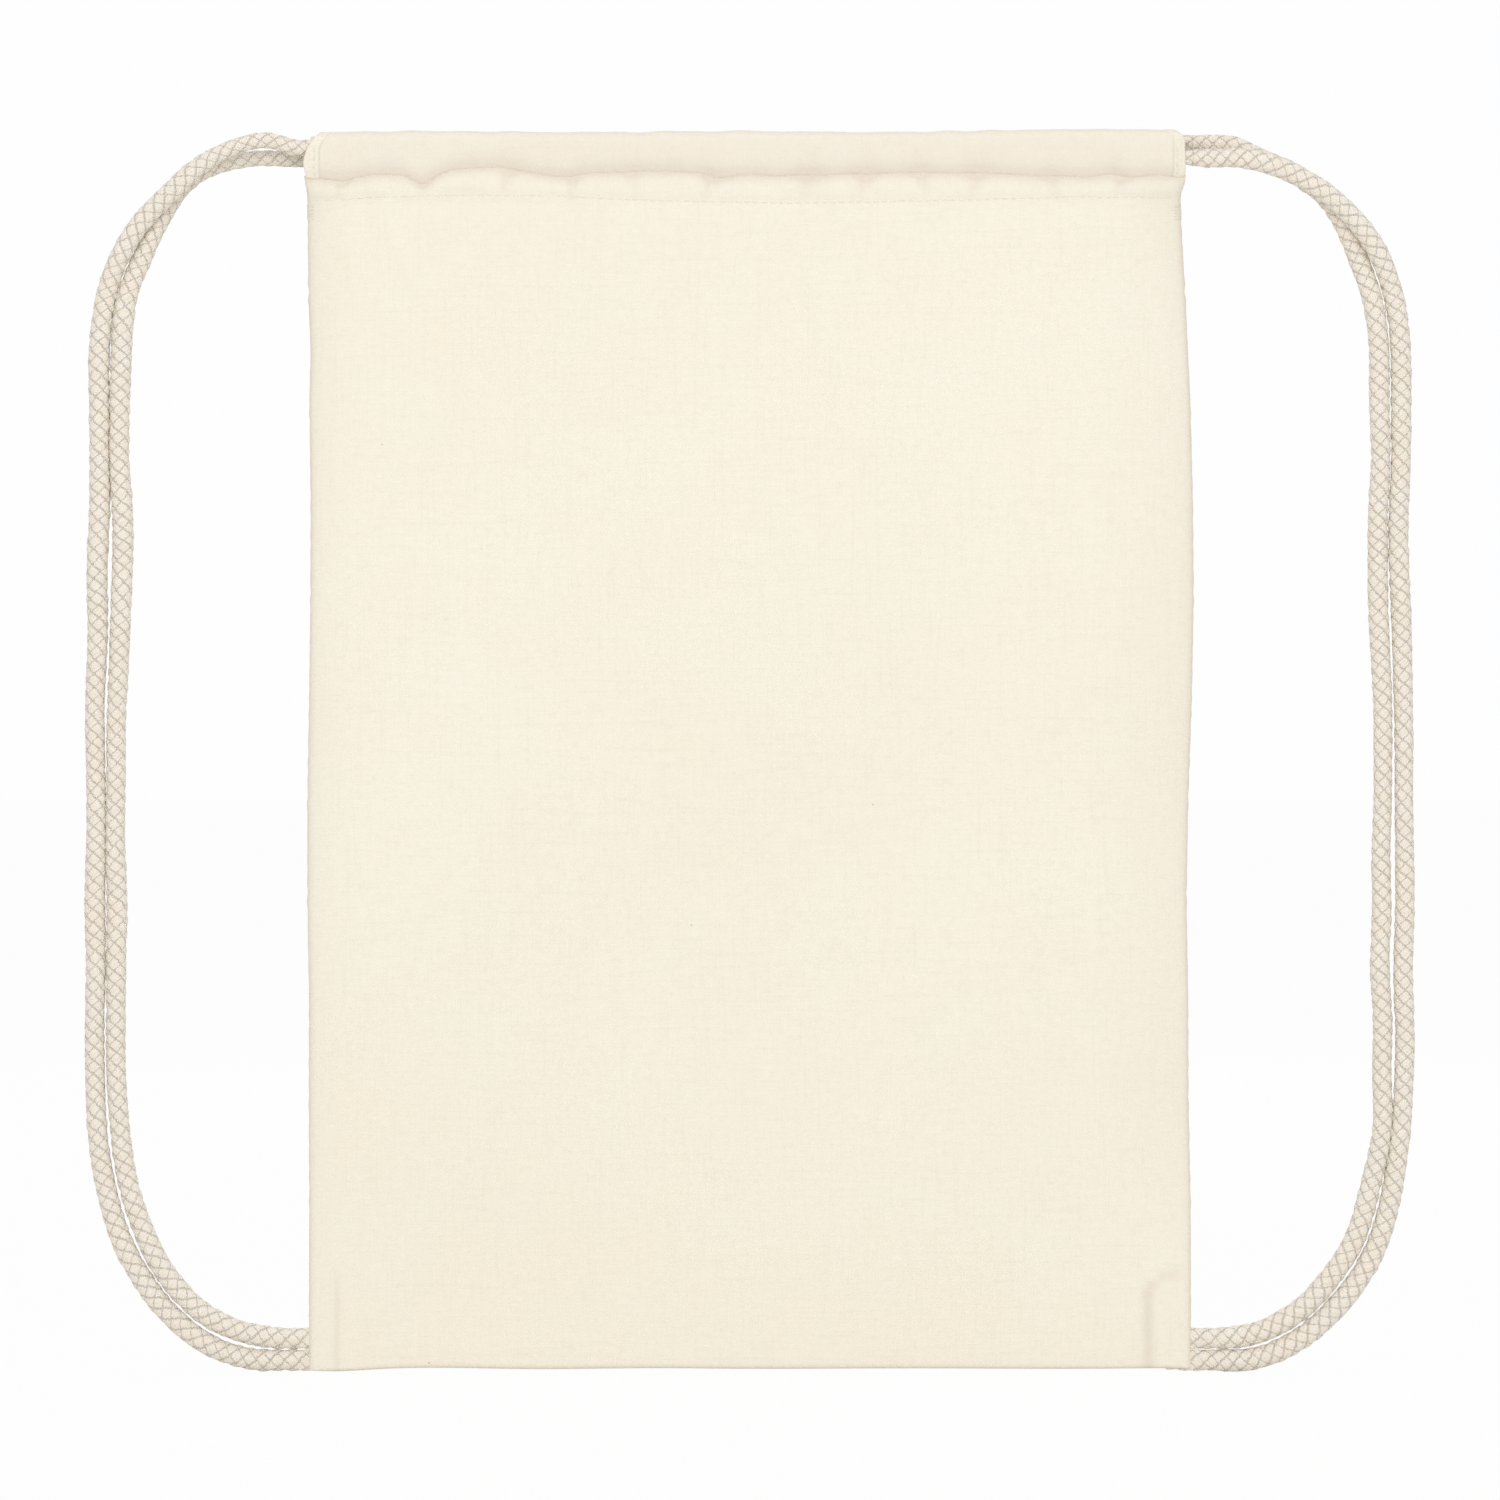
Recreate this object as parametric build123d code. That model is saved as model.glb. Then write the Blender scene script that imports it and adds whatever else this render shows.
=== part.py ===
from build123d import *
import math
import os

os.makedirs("parts", exist_ok=True)

# Drawstring backpack: a flat bag of cotton cloth, folded at the bottom and sewn up both sides, with a
# cord sleeve (casing) along the top of the front and the back, and two braided cords.
# Each cord has both ends sewn into one bottom corner, runs up beside the bag as a pair of strands,
# enters the casings at that side, runs through front and back, and turns round at the far side.
#
# Frame: +Z up, X across the bag, left is -X, the front faces -Y. Origin: middle of the bottom fold.
# Millimetres.

# ---- cloth ----
BAG_WIDTH = 320.0        # finished width, side seam to side seam
BAG_HEIGHT = 449.4       # bottom fold to the top of the sleeves
HALF_WIDTH = BAG_WIDTH / 2
CLOTH = 0.6              # one layer of canvas
HALF_DEPTH = 9.0         # half the bag's thickness
FOLD_HALF = 2.4          # half thickness at the bottom fold
EDGE_HALF = 1.5          # half thickness at the side seams
FLAT_HALF = 135.0        # half width of the flat middle of each face
TOP_FLAT_HALF = HALF_WIDTH - 3.0  # the same at the top edge
LINING_FLAT_INSET = 0.2  # how much narrower the flat middle is on the lining face
LINING_SIDE_INSET = 0.8  # how far the lining face of the side wall sits inside the edge
LINING_BOTTOM = 0.9      # height of the lining face at the fold
CLOTH_TOP = 434.6        # top edge of the outer cloth, just under the sleeves
FILL_Z = 60.0            # height by which the bag has reached its full thickness
FLARE_Z = 380.0          # above this the sides widen out to the full sleeve

# ---- side seams ----
SIDES = {"left": -1, "right": 1}                # sign of x
ALLOWANCE = {"left": 10.0, "right": 15.5}       # seam allowance turned inside
ALLOWANCE_INSET = 0.4    # the allowances start this far inside the side edge
SEAM_BOTTOM = 18.0
SEAM_TOP = 424.0         # below the sleeves, which stay open at both ends
SEWING_MARGIN = 2.0      # the sewing stops this far short of each seam end

# ---- sleeves ----
SLEEVE_SPREAD = 7.0      # distance between the centres of a sleeve's rounded top and bottom
SLEEVE_OUT = 7.6         # sleeve width outside
SLEEVE_IN = SLEEVE_OUT - 2 * CLOTH
SLEEVE_Z = BAG_HEIGHT - (SLEEVE_SPREAD + SLEEVE_OUT) / 2
SLEEVE_Y = HALF_DEPTH - SLEEVE_OUT / 2  # sleeves and cord runs, from the bag's middle plane
HEM_LEN = 4.8            # turned-in end hem of a sleeve
HEM_GAP = 0.2            # between a sleeve and its end hem
MOUTH_CUT = 145.0        # the facing walls of the sleeves stop here, so the cord can turn round them
SLEEVE_CUT_Z = (430, 455)  # heights of the cutting boxes, clear of a sleeve above and below
BAND_HALF = 151.0        # half length of the hem band below a sleeve
BAND_Y = -(HALF_DEPTH - CLOTH - 0.1)  # outer face of the front hem band
BAND_Z = (423.5, 436.3)

# ---- stitching ----
THREAD = 0.5             # width of a stitching line
THREAD_THICK = 0.3
GROOVE_WIDTH = 0.6       # groove a surface line is sunk in
GROOVE_DEPTH = 0.34
STITCH_Z = 426.0         # hem stitching of the sleeves
STITCH_HALF = 150.0      # half length of its groove
CLEAR = 1.0              # how far cutting boxes reach past a surface

# ---- cords ----
CORD_D = 7.0             # braided cord, free
CORD_SQUEEZED_D = 6.0    # the same cord where the sleeve grips it
RUN_OFFSET = 3.45        # height of each run above or below the middle of its sleeve
TURN_X = 146.0           # centre of the turn
TURN_LEADS = (8.0, 6.0, 4.0, 2.0)  # straight points beside the turn, measured from its centre
TURN_STEPS = 12
RUN_END = TURN_X - 8.2   # the runs stop here at the far side
SQUEEZED_TO = HALF_WIDTH + 0.2  # the cord swells to its free size here
HINGE_X = 168.8          # the strap loops swing about vertical lines here
STRAND_STEP = 9.0        # spacing of the lofted circles: strands, bends, turn
BEND_STEP = 1.5
TURN_STEP = 1.3

# The caught cord ends of a bottom corner, lower one first:
# height of the round cord, bottom and top of the flattened end.
CORD_ENDS = ((3.6, 1.2, 6.6), (12.0, 8.9, 15.1))
FLAT_END_HALF = 0.55     # half thickness of a flattened end
SLIT_GAP = 0.05          # gap round a flattened end in its slit

# Centre lines (x, y, z) of the free strands, from the sleeve mouth down to the bottom corner.
# The outer strand continues the front run, the inner strand the back run.
STRANDS = {
    ("left", "outer"): [
        (-177, -5.18, 443.93), (-186.37, -4.81, 441.37), (-196.62, -3.86, 436.66),
        (-208.37, -3.63, 428.38), (-220.86, -2.48, 414.71), (-231.15, -0.28, 393.82),
        (-235.75, 0, 365.68), (-236.28, 0, 332.32), (-236.61, 0, 295.01), (-236.98, 0, 254.97),
        (-237.04, 0, 213.71), (-237.12, 0, 172.86), (-237.68, 0, 134.01), (-237.35, 0, 98.55),
        (-233.13, 0, 67.83), (-224.81, 0, 43.18), (-214.08, 0, 25.2), (-202.56, 0, 13.61),
        (-191.61, 0, 7.24), (-177, 0, 3.69),
    ],
    ("left", "inner"): [
        (-177, 5.19, 439.07), (-186.43, 4.84, 438.2), (-196.93, 3.91, 435.35),
        (-207.48, 3.6, 426.56), (-216.57, 2.4, 411.14), (-224.66, 0.13, 390.11),
        (-228.2, 0, 362.78), (-228.28, 0, 330.56), (-228.45, 0, 294.52), (-228.82, 0, 255.85),
        (-229.02, 0, 216), (-229.14, 0, 176.55), (-229.46, 0, 139.02), (-229.17, 0, 104.77),
        (-225.92, 0, 74.98), (-219.25, 0, 50.76), (-210.1, 0, 32.72), (-199.48, 0, 21.08),
        (-188.71, 0, 15.32), (-177, 0, 12.3),
    ],
    ("right", "outer"): [
        (177, -5.19, 438.99), (186.52, -4.82, 437.37), (197.02, -4.15, 433.48),
        (208.99, -3.94, 425.72), (221.57, -3.07, 412.3), (231.9, -0.03, 391.69),
        (236.49, 0, 363.74), (236.01, 0, 330.62), (235.35, 0, 293.58), (236.43, 0, 253.82),
        (236.92, 0, 212.85), (236.35, 0, 172.28), (236.67, 0, 133.7), (236.88, 0, 98.48),
        (233.08, 0, 67.92), (224.62, 0, 43.52), (213.68, 0, 25.83), (202.2, 0, 14.35),
        (191.46, 0, 7.79), (177, 0, 3.75),
    ],
    ("right", "inner"): [
        (177, 5.19, 441.75), (186.14, 4.84, 439.56), (195.97, 4.19, 435.03),
        (206.5, 3.99, 426.15), (216.57, 3.22, 411.49), (224.36, 0.08, 390.59),
        (228.1, 0, 363.44), (228.05, 0, 331.42), (227.62, 0, 295.6), (228.36, 0, 257.17),
        (228.75, 0, 217.56), (228.3, 0, 178.34), (228.44, 0, 141.05), (228.97, 0, 107),
        (226.5, 0, 77.32), (220, 0, 53.21), (210.93, 0, 35.26), (200.84, 0, 23.25),
        (190.88, 0, 16.27), (177, 0, 12.14),
    ],
}


# ---- helpers ----
def box(x0, x1, y0, y1, z0, z1):
    """A box between two opposite corners, given in either order."""
    centre = Pos((x0 + x1) / 2, (y0 + y1) / 2, (z0 + z1) / 2)
    return centre * Box(abs(x1 - x0), abs(y1 - y0), abs(z1 - z0))


def rod_x(x0, x1, y, z, diameter):
    x0, x1 = sorted((x0, x1))
    start = Plane(origin=(x0, y, z), x_dir=(0, 1, 0), z_dir=(1, 0, 0))
    return start * Pos(0, 0, (x1 - x0) / 2) * Cylinder(diameter / 2, x1 - x0)


def cord_along(path, diameter, step):
    """A round cord along a smooth line: circles square to the line, with no twist, lofted."""
    count = max(6, round(path.length / step))
    x_dir = None
    rings = []
    for i in range(count + 1):
        origin = path @ (i / count)
        tangent = (path % (i / count)).normalized()
        if x_dir is None:
            x_dir = Vector(0, 0, 1) if abs(tangent.Z) < 0.7 else Vector(0, 1, 0)
        x_dir = (x_dir - tangent * x_dir.dot(tangent)).normalized()
        rings.append(Plane(origin=origin, x_dir=x_dir, z_dir=tangent) * Circle(diameter / 2))
    return loft(rings)


def mirrored_y(shape):
    return mirror(shape, about=Plane.XZ)


def save(name, *shapes):
    solids = [solid for shape in shapes for solid in shape.solids()]
    out = solids[0] if len(solids) == 1 else Compound(children=solids)
    out.label = name
    export_step(out, f"parts/{name}.step")


def save_front_and_back(name, *front_shapes):
    save(f"front_{name}", *front_shapes)
    save(f"back_{name}", *[mirrored_y(shape) for shape in front_shapes])


# ---- cloth: one length, folded at the bottom, open at the top ----
def cloth_loft(stations, edge_x, edge_y):
    """Ruled loft through eight-sided sections; stations are (z, half depth, half flat width)."""
    sections = []
    for z, depth, flat in stations:
        outline = [
            (-edge_x, -edge_y), (-flat, -depth), (flat, -depth), (edge_x, -edge_y),
            (edge_x, edge_y), (flat, depth), (-flat, depth), (-edge_x, edge_y),
        ]
        sections.append(make_face(Polyline(*[(x, y, z) for x, y in outline], close=True)))
    return loft(sections, ruled=True)


def make_cloth():
    outer = cloth_loft([
        (0, FOLD_HALF, FLAT_HALF),
        (FILL_Z, HALF_DEPTH, FLAT_HALF),
        (FLARE_Z, HALF_DEPTH, FLAT_HALF),
        (CLOTH_TOP, HALF_DEPTH, TOP_FLAT_HALF),
    ], HALF_WIDTH, EDGE_HALF)
    lining_depth = HALF_DEPTH - CLOTH
    lining_flat = FLAT_HALF - LINING_FLAT_INSET
    inner = cloth_loft([
        (LINING_BOTTOM, FOLD_HALF - CLOTH, FLAT_HALF),
        (FILL_Z, lining_depth, lining_flat),
        (FLARE_Z, lining_depth, lining_flat),
        (CLOTH_TOP + 0.01, lining_depth, TOP_FLAT_HALF - CLOTH),
    ], HALF_WIDTH - LINING_SIDE_INSET, EDGE_HALF - CLOTH)
    cloth = outer - inner

    # seam allowances, both layers sewn together and turned inside
    seam_x = HALF_WIDTH - ALLOWANCE_INSET
    for name, side in SIDES.items():
        cloth = cloth + box(side * seam_x, side * (seam_x - ALLOWANCE[name]),
                            -CLOTH, CLOTH, SEAM_BOTTOM, SEAM_TOP)

    # slits in the side seams where the cord ends are caught
    slit_half = FLAT_END_HALF + SLIT_GAP
    for side in SIDES.values():
        for _, bottom, top in CORD_ENDS:
            cloth = cloth - box(side * (HALF_WIDTH + CLEAR), side * (HALF_WIDTH - 2),
                                -slit_half, slit_half, bottom - SLIT_GAP, top + SLIT_GAP)

    # grooves for the hem stitching, front then back
    for face in (-1, 1):
        cloth = cloth - box(-STITCH_HALF, STITCH_HALF,
                            face * (HALF_DEPTH + CLEAR), face * (HALF_DEPTH - GROOVE_DEPTH),
                            STITCH_Z - GROOVE_WIDTH / 2, STITCH_Z + GROOVE_WIDTH / 2)
    save("bag_cloth", cloth)


# ---- sleeves: the turned-down top hems the cords run in ----
def sleeve_ring():
    """Cross-section of the front sleeve, an upright slot with a wall of one cloth layer."""
    upright = Plane.YZ * Pos(-SLEEVE_Y, SLEEVE_Z) * Rot(0, 0, 90)
    return upright * (SlotCenterToCenter(SLEEVE_SPREAD, SLEEVE_OUT)
                      - SlotCenterToCenter(SLEEVE_SPREAD, SLEEVE_IN))


def make_casings():
    sleeve = extrude(sleeve_ring(), amount=HALF_WIDTH - HEM_LEN - HEM_GAP, both=True)
    for side in SIDES.values():
        sleeve = sleeve - box(side * HALF_WIDTH, side * MOUTH_CUT, -4.8, 0, *SLEEVE_CUT_Z)
    band = box(-BAND_HALF, BAND_HALF, BAND_Y, BAND_Y + CLOTH, *BAND_Z)
    save_front_and_back("casing", sleeve + band)

    # one thread line in the groove of the cloth, one on the inner face of the hem band
    thread_half = STITCH_HALF - 0.1
    lines = [
        box(-thread_half, thread_half, y, y + THREAD_THICK,
            STITCH_Z - THREAD / 2, STITCH_Z + THREAD / 2)
        for y in (-HALF_DEPTH, BAND_Y + CLOTH + 0.05)
    ]
    save_front_and_back("casing_stitching", *lines)


def make_end_hem(name, side):
    """The raw ends of the sleeves at one side, turned in and stitched round the mouth."""
    hem = extrude(sleeve_ring(), amount=HEM_LEN)
    hem = Pos(-HALF_WIDTH if side < 0 else HALF_WIDTH - HEM_LEN, 0, 0) * hem
    hem = hem - box(-HALF_WIDTH - CLEAR, HALF_WIDTH + CLEAR, -2.6, 0, *SLEEVE_CUT_Z)

    stitch_x = side * (HALF_WIDTH - 3.4)
    thread_reach = 3.6   # above and below the middle of the sleeve
    groove_reach = thread_reach + 0.1
    hem = hem - box(stitch_x - GROOVE_WIDTH / 2, stitch_x + GROOVE_WIDTH / 2,
                    -HALF_DEPTH - CLEAR, -HALF_DEPTH + GROOVE_DEPTH,
                    SLEEVE_Z - groove_reach, SLEEVE_Z + groove_reach)
    thread = box(stitch_x - THREAD / 2, stitch_x + THREAD / 2,
                 -HALF_DEPTH, -HALF_DEPTH + THREAD_THICK,
                 SLEEVE_Z - thread_reach, SLEEVE_Z + thread_reach)
    save_front_and_back(f"{name}_end_hem", hem)
    save(f"{name}_end_hem_stitching", thread, mirrored_y(thread))


# ---- sewing of one side seam ----
def make_side_sewing(name, side):
    sewn_z = (SEAM_BOTTOM + SEWING_MARGIN, SEAM_TOP - SEWING_MARGIN)

    line_x = side * (HALF_WIDTH - 4.0)
    line = box(line_x - THREAD / 2, line_x + THREAD / 2, 0.65, 1.0, *sewn_z)
    save(f"{name}_side_seam_thread", line, mirrored_y(line))

    # overlock wrapped round the raw edge of the allowance
    raw_edge = HALF_WIDTH - ALLOWANCE_INSET - ALLOWANCE[name]
    wrap = box(side * (raw_edge + 2.2), side * (raw_edge - 0.5), -1.1, 1.1, *sewn_z)
    wrap = wrap - box(side * (raw_edge + 3.0), side * (raw_edge - 0.05),
                      -0.65, 0.65, SEAM_BOTTOM, SEAM_TOP)
    save(f"{name}_overlock_thread", wrap)

    # close zigzag over the top of the side seam, below the sleeve mouth
    save(f"{name}_mouth_bartack",
         box(side * HALF_WIDTH, side * (HALF_WIDTH + 0.4), -1.3, 1.3, 418.5, 424.3))

    # close zigzag over the caught cord ends, on both faces of the seam
    tack = box(side * (HALF_WIDTH - 5.2), side * (HALF_WIDTH - 3.4), 0.6, 0.88, 1.6, 15.0)
    save(f"{name}_corner_bartack", tack, mirrored_y(tack))


# ---- cords ----
def make_cord(name, side):
    # The left cord lies above in the front sleeve and below in the back one, and the right cord the
    # other way round, so the two never cross inside a sleeve.
    front_rise = -side * RUN_OFFSET
    layout = (
        ("outer", -SLEEVE_Y, SLEEVE_Z + front_rise, CORD_ENDS[0]),
        ("inner", SLEEVE_Y, SLEEVE_Z - front_rise, CORD_ENDS[1]),
    )
    hinge = side * HINGE_X
    runs, tops, bottoms, ends = [], [], [], []
    for strand, y, z, (end_z, flat_bottom, flat_top) in layout:
        squeezed = rod_x(-side * RUN_END, side * SQUEEZED_TO, y, z, CORD_SQUEEZED_D)
        runs.append(squeezed + rod_x(side * SQUEEZED_TO, hinge, y, z, CORD_D))

        points = STRANDS[name, strand]
        line = Spline(*points)
        save(f"{name}_cord_{strand}_strand", cord_along(line, CORD_D, STRAND_STEP))
        top = Spline((hinge, y, z), points[0], tangents=[(side, 0, 0), line % 0])
        tops.append(cord_along(top, CORD_D, BEND_STEP))
        bottom = Spline(points[-1], (hinge, 0, end_z), tangents=[line % 1, (-side, 0, 0)])
        bottoms.append(cord_along(bottom, CORD_D, BEND_STEP))

        # caught end: round outside the seam, pressed flat between the layers inside it
        stub = rod_x(side * (HALF_WIDTH + 0.15), hinge, 0, end_z, CORD_D)
        ends.append(stub + box(side * (HALF_WIDTH + 1.0), side * (HALF_WIDTH - 10.5),
                               -FLAT_END_HALF, FLAT_END_HALF, flat_bottom, flat_top))
    save(f"{name}_cord_runs", *runs)
    save(f"{name}_cord_top_bends", *tops)
    save(f"{name}_cord_bottom_bends", *bottoms)
    save(f"{name}_cord_sewn_ends", *ends)
    make_cord_turn(name, side, front_rise)


def make_cord_turn(name, side, front_rise):
    """The turn at the far mouth, from the front sleeve round to the back one."""
    points = [(-side * (TURN_X - lead), -SLEEVE_Y, SLEEVE_Z + front_rise) for lead in TURN_LEADS]
    for i in range(TURN_STEPS + 1):
        angle = -math.pi / 2 + math.pi * i / TURN_STEPS
        across = math.sin(angle)
        points.append((
            -side * (TURN_X + SLEEVE_Y * math.cos(angle)),
            SLEEVE_Y * across,
            SLEEVE_Z - front_rise * (1.5 * across - 0.5 * across ** 3),
        ))
    points += [(-side * (TURN_X - lead), SLEEVE_Y, SLEEVE_Z - front_rise)
               for lead in reversed(TURN_LEADS)]
    save(f"{name}_cord_turn", cord_along(Spline(*points), CORD_SQUEEZED_D, TURN_STEP))


make_cloth()
make_casings()
for side_name, side_sign in SIDES.items():
    make_end_hem(side_name, side_sign)
    make_side_sewing(side_name, side_sign)
    make_cord(side_name, side_sign)
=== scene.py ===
"""A flat cotton drawstring bag standing upright, with a braided cord looping down each side.

X runs across the bag with its left side at -X, the front faces -Y, and Z is up from the
bottom fold near 0.
"""
import math

import bpy
import numpy as np
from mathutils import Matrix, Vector


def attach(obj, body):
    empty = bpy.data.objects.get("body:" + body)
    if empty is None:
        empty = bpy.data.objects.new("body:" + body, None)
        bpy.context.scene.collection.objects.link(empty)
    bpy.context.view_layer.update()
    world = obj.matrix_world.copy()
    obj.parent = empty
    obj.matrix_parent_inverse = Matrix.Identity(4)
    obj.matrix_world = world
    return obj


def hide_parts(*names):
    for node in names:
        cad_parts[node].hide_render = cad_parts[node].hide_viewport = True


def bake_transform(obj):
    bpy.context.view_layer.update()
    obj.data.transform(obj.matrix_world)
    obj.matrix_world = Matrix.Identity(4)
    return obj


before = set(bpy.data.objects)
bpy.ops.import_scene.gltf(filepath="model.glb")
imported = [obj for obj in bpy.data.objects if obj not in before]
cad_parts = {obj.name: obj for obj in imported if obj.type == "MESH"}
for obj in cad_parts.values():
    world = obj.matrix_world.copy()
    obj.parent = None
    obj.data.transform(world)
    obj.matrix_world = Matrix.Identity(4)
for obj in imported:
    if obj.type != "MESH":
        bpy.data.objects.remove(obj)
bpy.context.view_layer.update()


FRONT, BACK = 0, 1
FACE_NAME = ("front", "back")
OUTWARD = (-1, 1)                   # direction in y of the front and back
LEFT, RIGHT = -1, 1
SIDE_NAME = {LEFT: "left", RIGHT: "right"}

# ---------------------------------------------------------------- numbers and curves


def smooth(value, start, end):
    """Ease from 0 at start to 1 at end."""
    share = np.clip((np.asarray(value, float) - start) / (end - start), 0, 1)
    return share * share * (3 - 2 * share)


def bell(offset, width):
    """1 where the offset is 0, fading to both sides."""
    return np.exp(-(offset / width) ** 2)


def waves(x, seed, shortest, longest, count=9):
    """Smooth noise of one variable, about -1 to 1, between two wavelengths."""
    random = np.random.default_rng(seed)
    x = np.asarray(x, float)
    total = np.zeros_like(x)
    for _ in range(count):
        length = shortest * (longest / shortest) ** random.random()
        total = total + np.cos(2 * np.pi * (x / length + random.random()))
    return total / math.sqrt(count) * 0.9


def waves2(x, z, seed, shortest, longest, count, stretch=1.0):
    """Smooth noise of two variables; stretch above 1 draws it out along z."""
    random = np.random.default_rng(seed)
    total = np.zeros(np.broadcast(x, z).shape)
    for _ in range(count):
        length = shortest * (longest / shortest) ** random.random()
        angle = random.random() * np.pi
        across = x * np.cos(angle) + z * np.sin(angle) / stretch
        total = total + np.cos(2 * np.pi * (across / length + random.random()))
    return total / math.sqrt(count) * 0.9


def distances(points):
    """Distance of each point along a line of points."""
    return np.r_[0, np.cumsum(np.linalg.norm(np.diff(points, axis=0), axis=1))]


def spline(points, step):
    """Natural cubic through the points, resampled evenly: points and distances along."""
    points = np.array(points, float)
    count = len(points)
    knots = distances(points)
    gaps = np.diff(knots)
    system = np.zeros((count, count))
    system[0, 0] = system[-1, -1] = 1
    for i in range(1, count - 1):
        system[i, i - 1:i + 2] = gaps[i - 1], 2 * (gaps[i - 1] + gaps[i]), gaps[i]
    target = np.zeros((count, 3))
    target[1:-1] = 6 * np.diff(np.diff(points, axis=0) / gaps[:, None], axis=0)
    bends = np.linalg.solve(system, target)

    where = np.linspace(0, knots[-1], 4000)
    i = np.clip(np.searchsorted(knots, where, side="right") - 1, 0, count - 2)
    ahead = (knots[i + 1] - where)[:, None]
    behind = (where - knots[i])[:, None]
    gap = gaps[i][:, None]
    fine = (
        (bends[i] * ahead ** 3 + bends[i + 1] * behind ** 3) / (6 * gap)
        + (points[i] / gap - bends[i] * gap / 6) * ahead
        + (points[i + 1] / gap - bends[i + 1] * gap / 6) * behind
    )
    length = distances(fine)
    steps = max(3, int(round(length[-1] / step)))
    even = np.linspace(0, length[-1], steps + 1)
    return np.stack([np.interp(even, length, fine[:, k]) for k in range(3)], 1), even


def rings(path, radius, around, up):
    """Rings of vertices round a path, without twist; radius is (rings, 1) or (rings, around)."""
    along = np.gradient(path, axis=0)
    along /= np.linalg.norm(along, axis=1)[:, None]
    normals = np.zeros_like(path)
    normal = np.array(up, float)
    for i in range(len(path)):
        normal = normal - along[i] * (normal @ along[i])
        normal /= np.linalg.norm(normal)
        normals[i] = normal
    sideways = np.cross(along, normals)
    angle = np.linspace(0, 2 * np.pi, around, endpoint=False)[:, None]
    spokes = np.cos(angle) * normals[:, None] + np.sin(angle) * sideways[:, None]
    return path[:, None] + radius[..., None] * spokes


# ---------------------------------------------------------------- meshes


def wind(faces, flip):
    """Faces with their winding reversed if flip is true."""
    return faces[:, ::-1] if flip else faces


def grid_faces(rows, columns, first=0, wrap=False, flip=False):
    """Quads of a grid of vertices, numbered row by row; wrap joins the last column to the first."""
    row, column = np.meshgrid(
        np.arange(rows - 1), np.arange(columns if wrap else columns - 1), indexing="ij")
    after = (column + 1) % columns
    corners = [row * columns + column, (row + 1) * columns + column,
               (row + 1) * columns + after, row * columns + after]
    return wind(np.stack(corners, -1).reshape(-1, 4) + first, flip)


def fan_faces(first, count):
    """Triangles filling a ring of consecutive vertices."""
    ring = first + np.arange(count)
    return np.stack([np.full(count - 2, first), ring[1:-1], ring[2:]], -1)


def join(parts):
    """Vertices and renumbered faces of (vertices, quads, triangles) parts."""
    faces, first = [], 0
    for vertices, quads, triangles in parts:
        faces += [quads + first, triangles + first]
        first += len(vertices)
    return np.concatenate([part[0] for part in parts]), faces


def build_mesh(name, vertices, faces, material, attributes):
    """A smooth-shaded object from vertices in mm and a list of (n, 3) or (n, 4) face arrays."""
    mesh = bpy.data.meshes.new(name)
    loops = np.concatenate([group.ravel() for group in faces]).astype(np.int32)
    sizes = np.concatenate([np.full(len(group), group.shape[1]) for group in faces])
    starts = np.r_[0, np.cumsum(sizes)[:-1]].astype(np.int32)
    mesh.vertices.add(len(vertices))
    mesh.vertices.foreach_set("co", (vertices * 0.001).astype(np.float32).ravel())
    mesh.loops.add(len(loops))
    mesh.loops.foreach_set("vertex_index", loops)
    mesh.polygons.add(len(sizes))
    mesh.polygons.foreach_set("loop_start", starts)
    mesh.polygons.foreach_set("use_smooth", np.full(len(sizes), True))
    mesh.update(calc_edges=True)
    for key, values in attributes.items():
        attribute = mesh.attributes.new(key, "FLOAT", "POINT")
        attribute.data.foreach_set("value", np.asarray(values, np.float32))
    mesh.materials.append(material)
    built = bpy.data.objects.new(name, mesh)
    bpy.context.scene.collection.objects.link(built)
    return built


def piece(name, vertices, faces, slot, *replaced, **attributes):
    """An object in one of the MATERIALS that stands in for the named CAD pieces."""
    built = build_mesh(name, vertices, faces, MATERIALS[slot], attributes)
    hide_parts(*replaced)
    return built


def blend_by(built, weight):
    """Bake the transform and work out a weight between two bodies from where each point is; the
    weight is not applied.
    """
    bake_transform(built)
    points = np.zeros(len(built.data.vertices) * 3, np.float32)
    built.data.vertices.foreach_get("co", points)
    share = np.clip(weight(points.reshape(-1, 3).astype(float) * 1000), 0, 1)


def blend_between_mouths(built, weight):
    blend_by(built,
             weight)


def cinch(built):
    """Weight by distance across, more and more towards the top, between both sleeve ends; it is
    worked out but not applied.
    """
    blend_between_mouths(
        built, lambda points: 0.5 * (1 + points[:, 0] / 160.0 * smooth(points[:, 2], 150, 428)))


def ride_mouth(built, side):
    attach(built, SIDE_NAME[side] + "_casing_end")


# ---------------------------------------------------------------- materials


def fill(tree, node, inputs):
    """Link or set the inputs of a node."""
    for key, value in inputs.items():
        if isinstance(value, bpy.types.NodeSocket):
            tree.links.new(value, node.inputs[key])
        else:
            node.inputs[key].default_value = value


def add_node(tree, kind, inputs=None, **settings):
    node = tree.nodes.new(kind)
    for key, value in settings.items():
        setattr(node, key, value)
    fill(tree, node, inputs or {})
    return node


def tint(colour, red, green, blue):
    """A colour with each channel multiplied, and held to 1."""
    return tuple(min(c * k, 1) for c, k in zip(colour, (red, green, blue))) + (1,)


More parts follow.
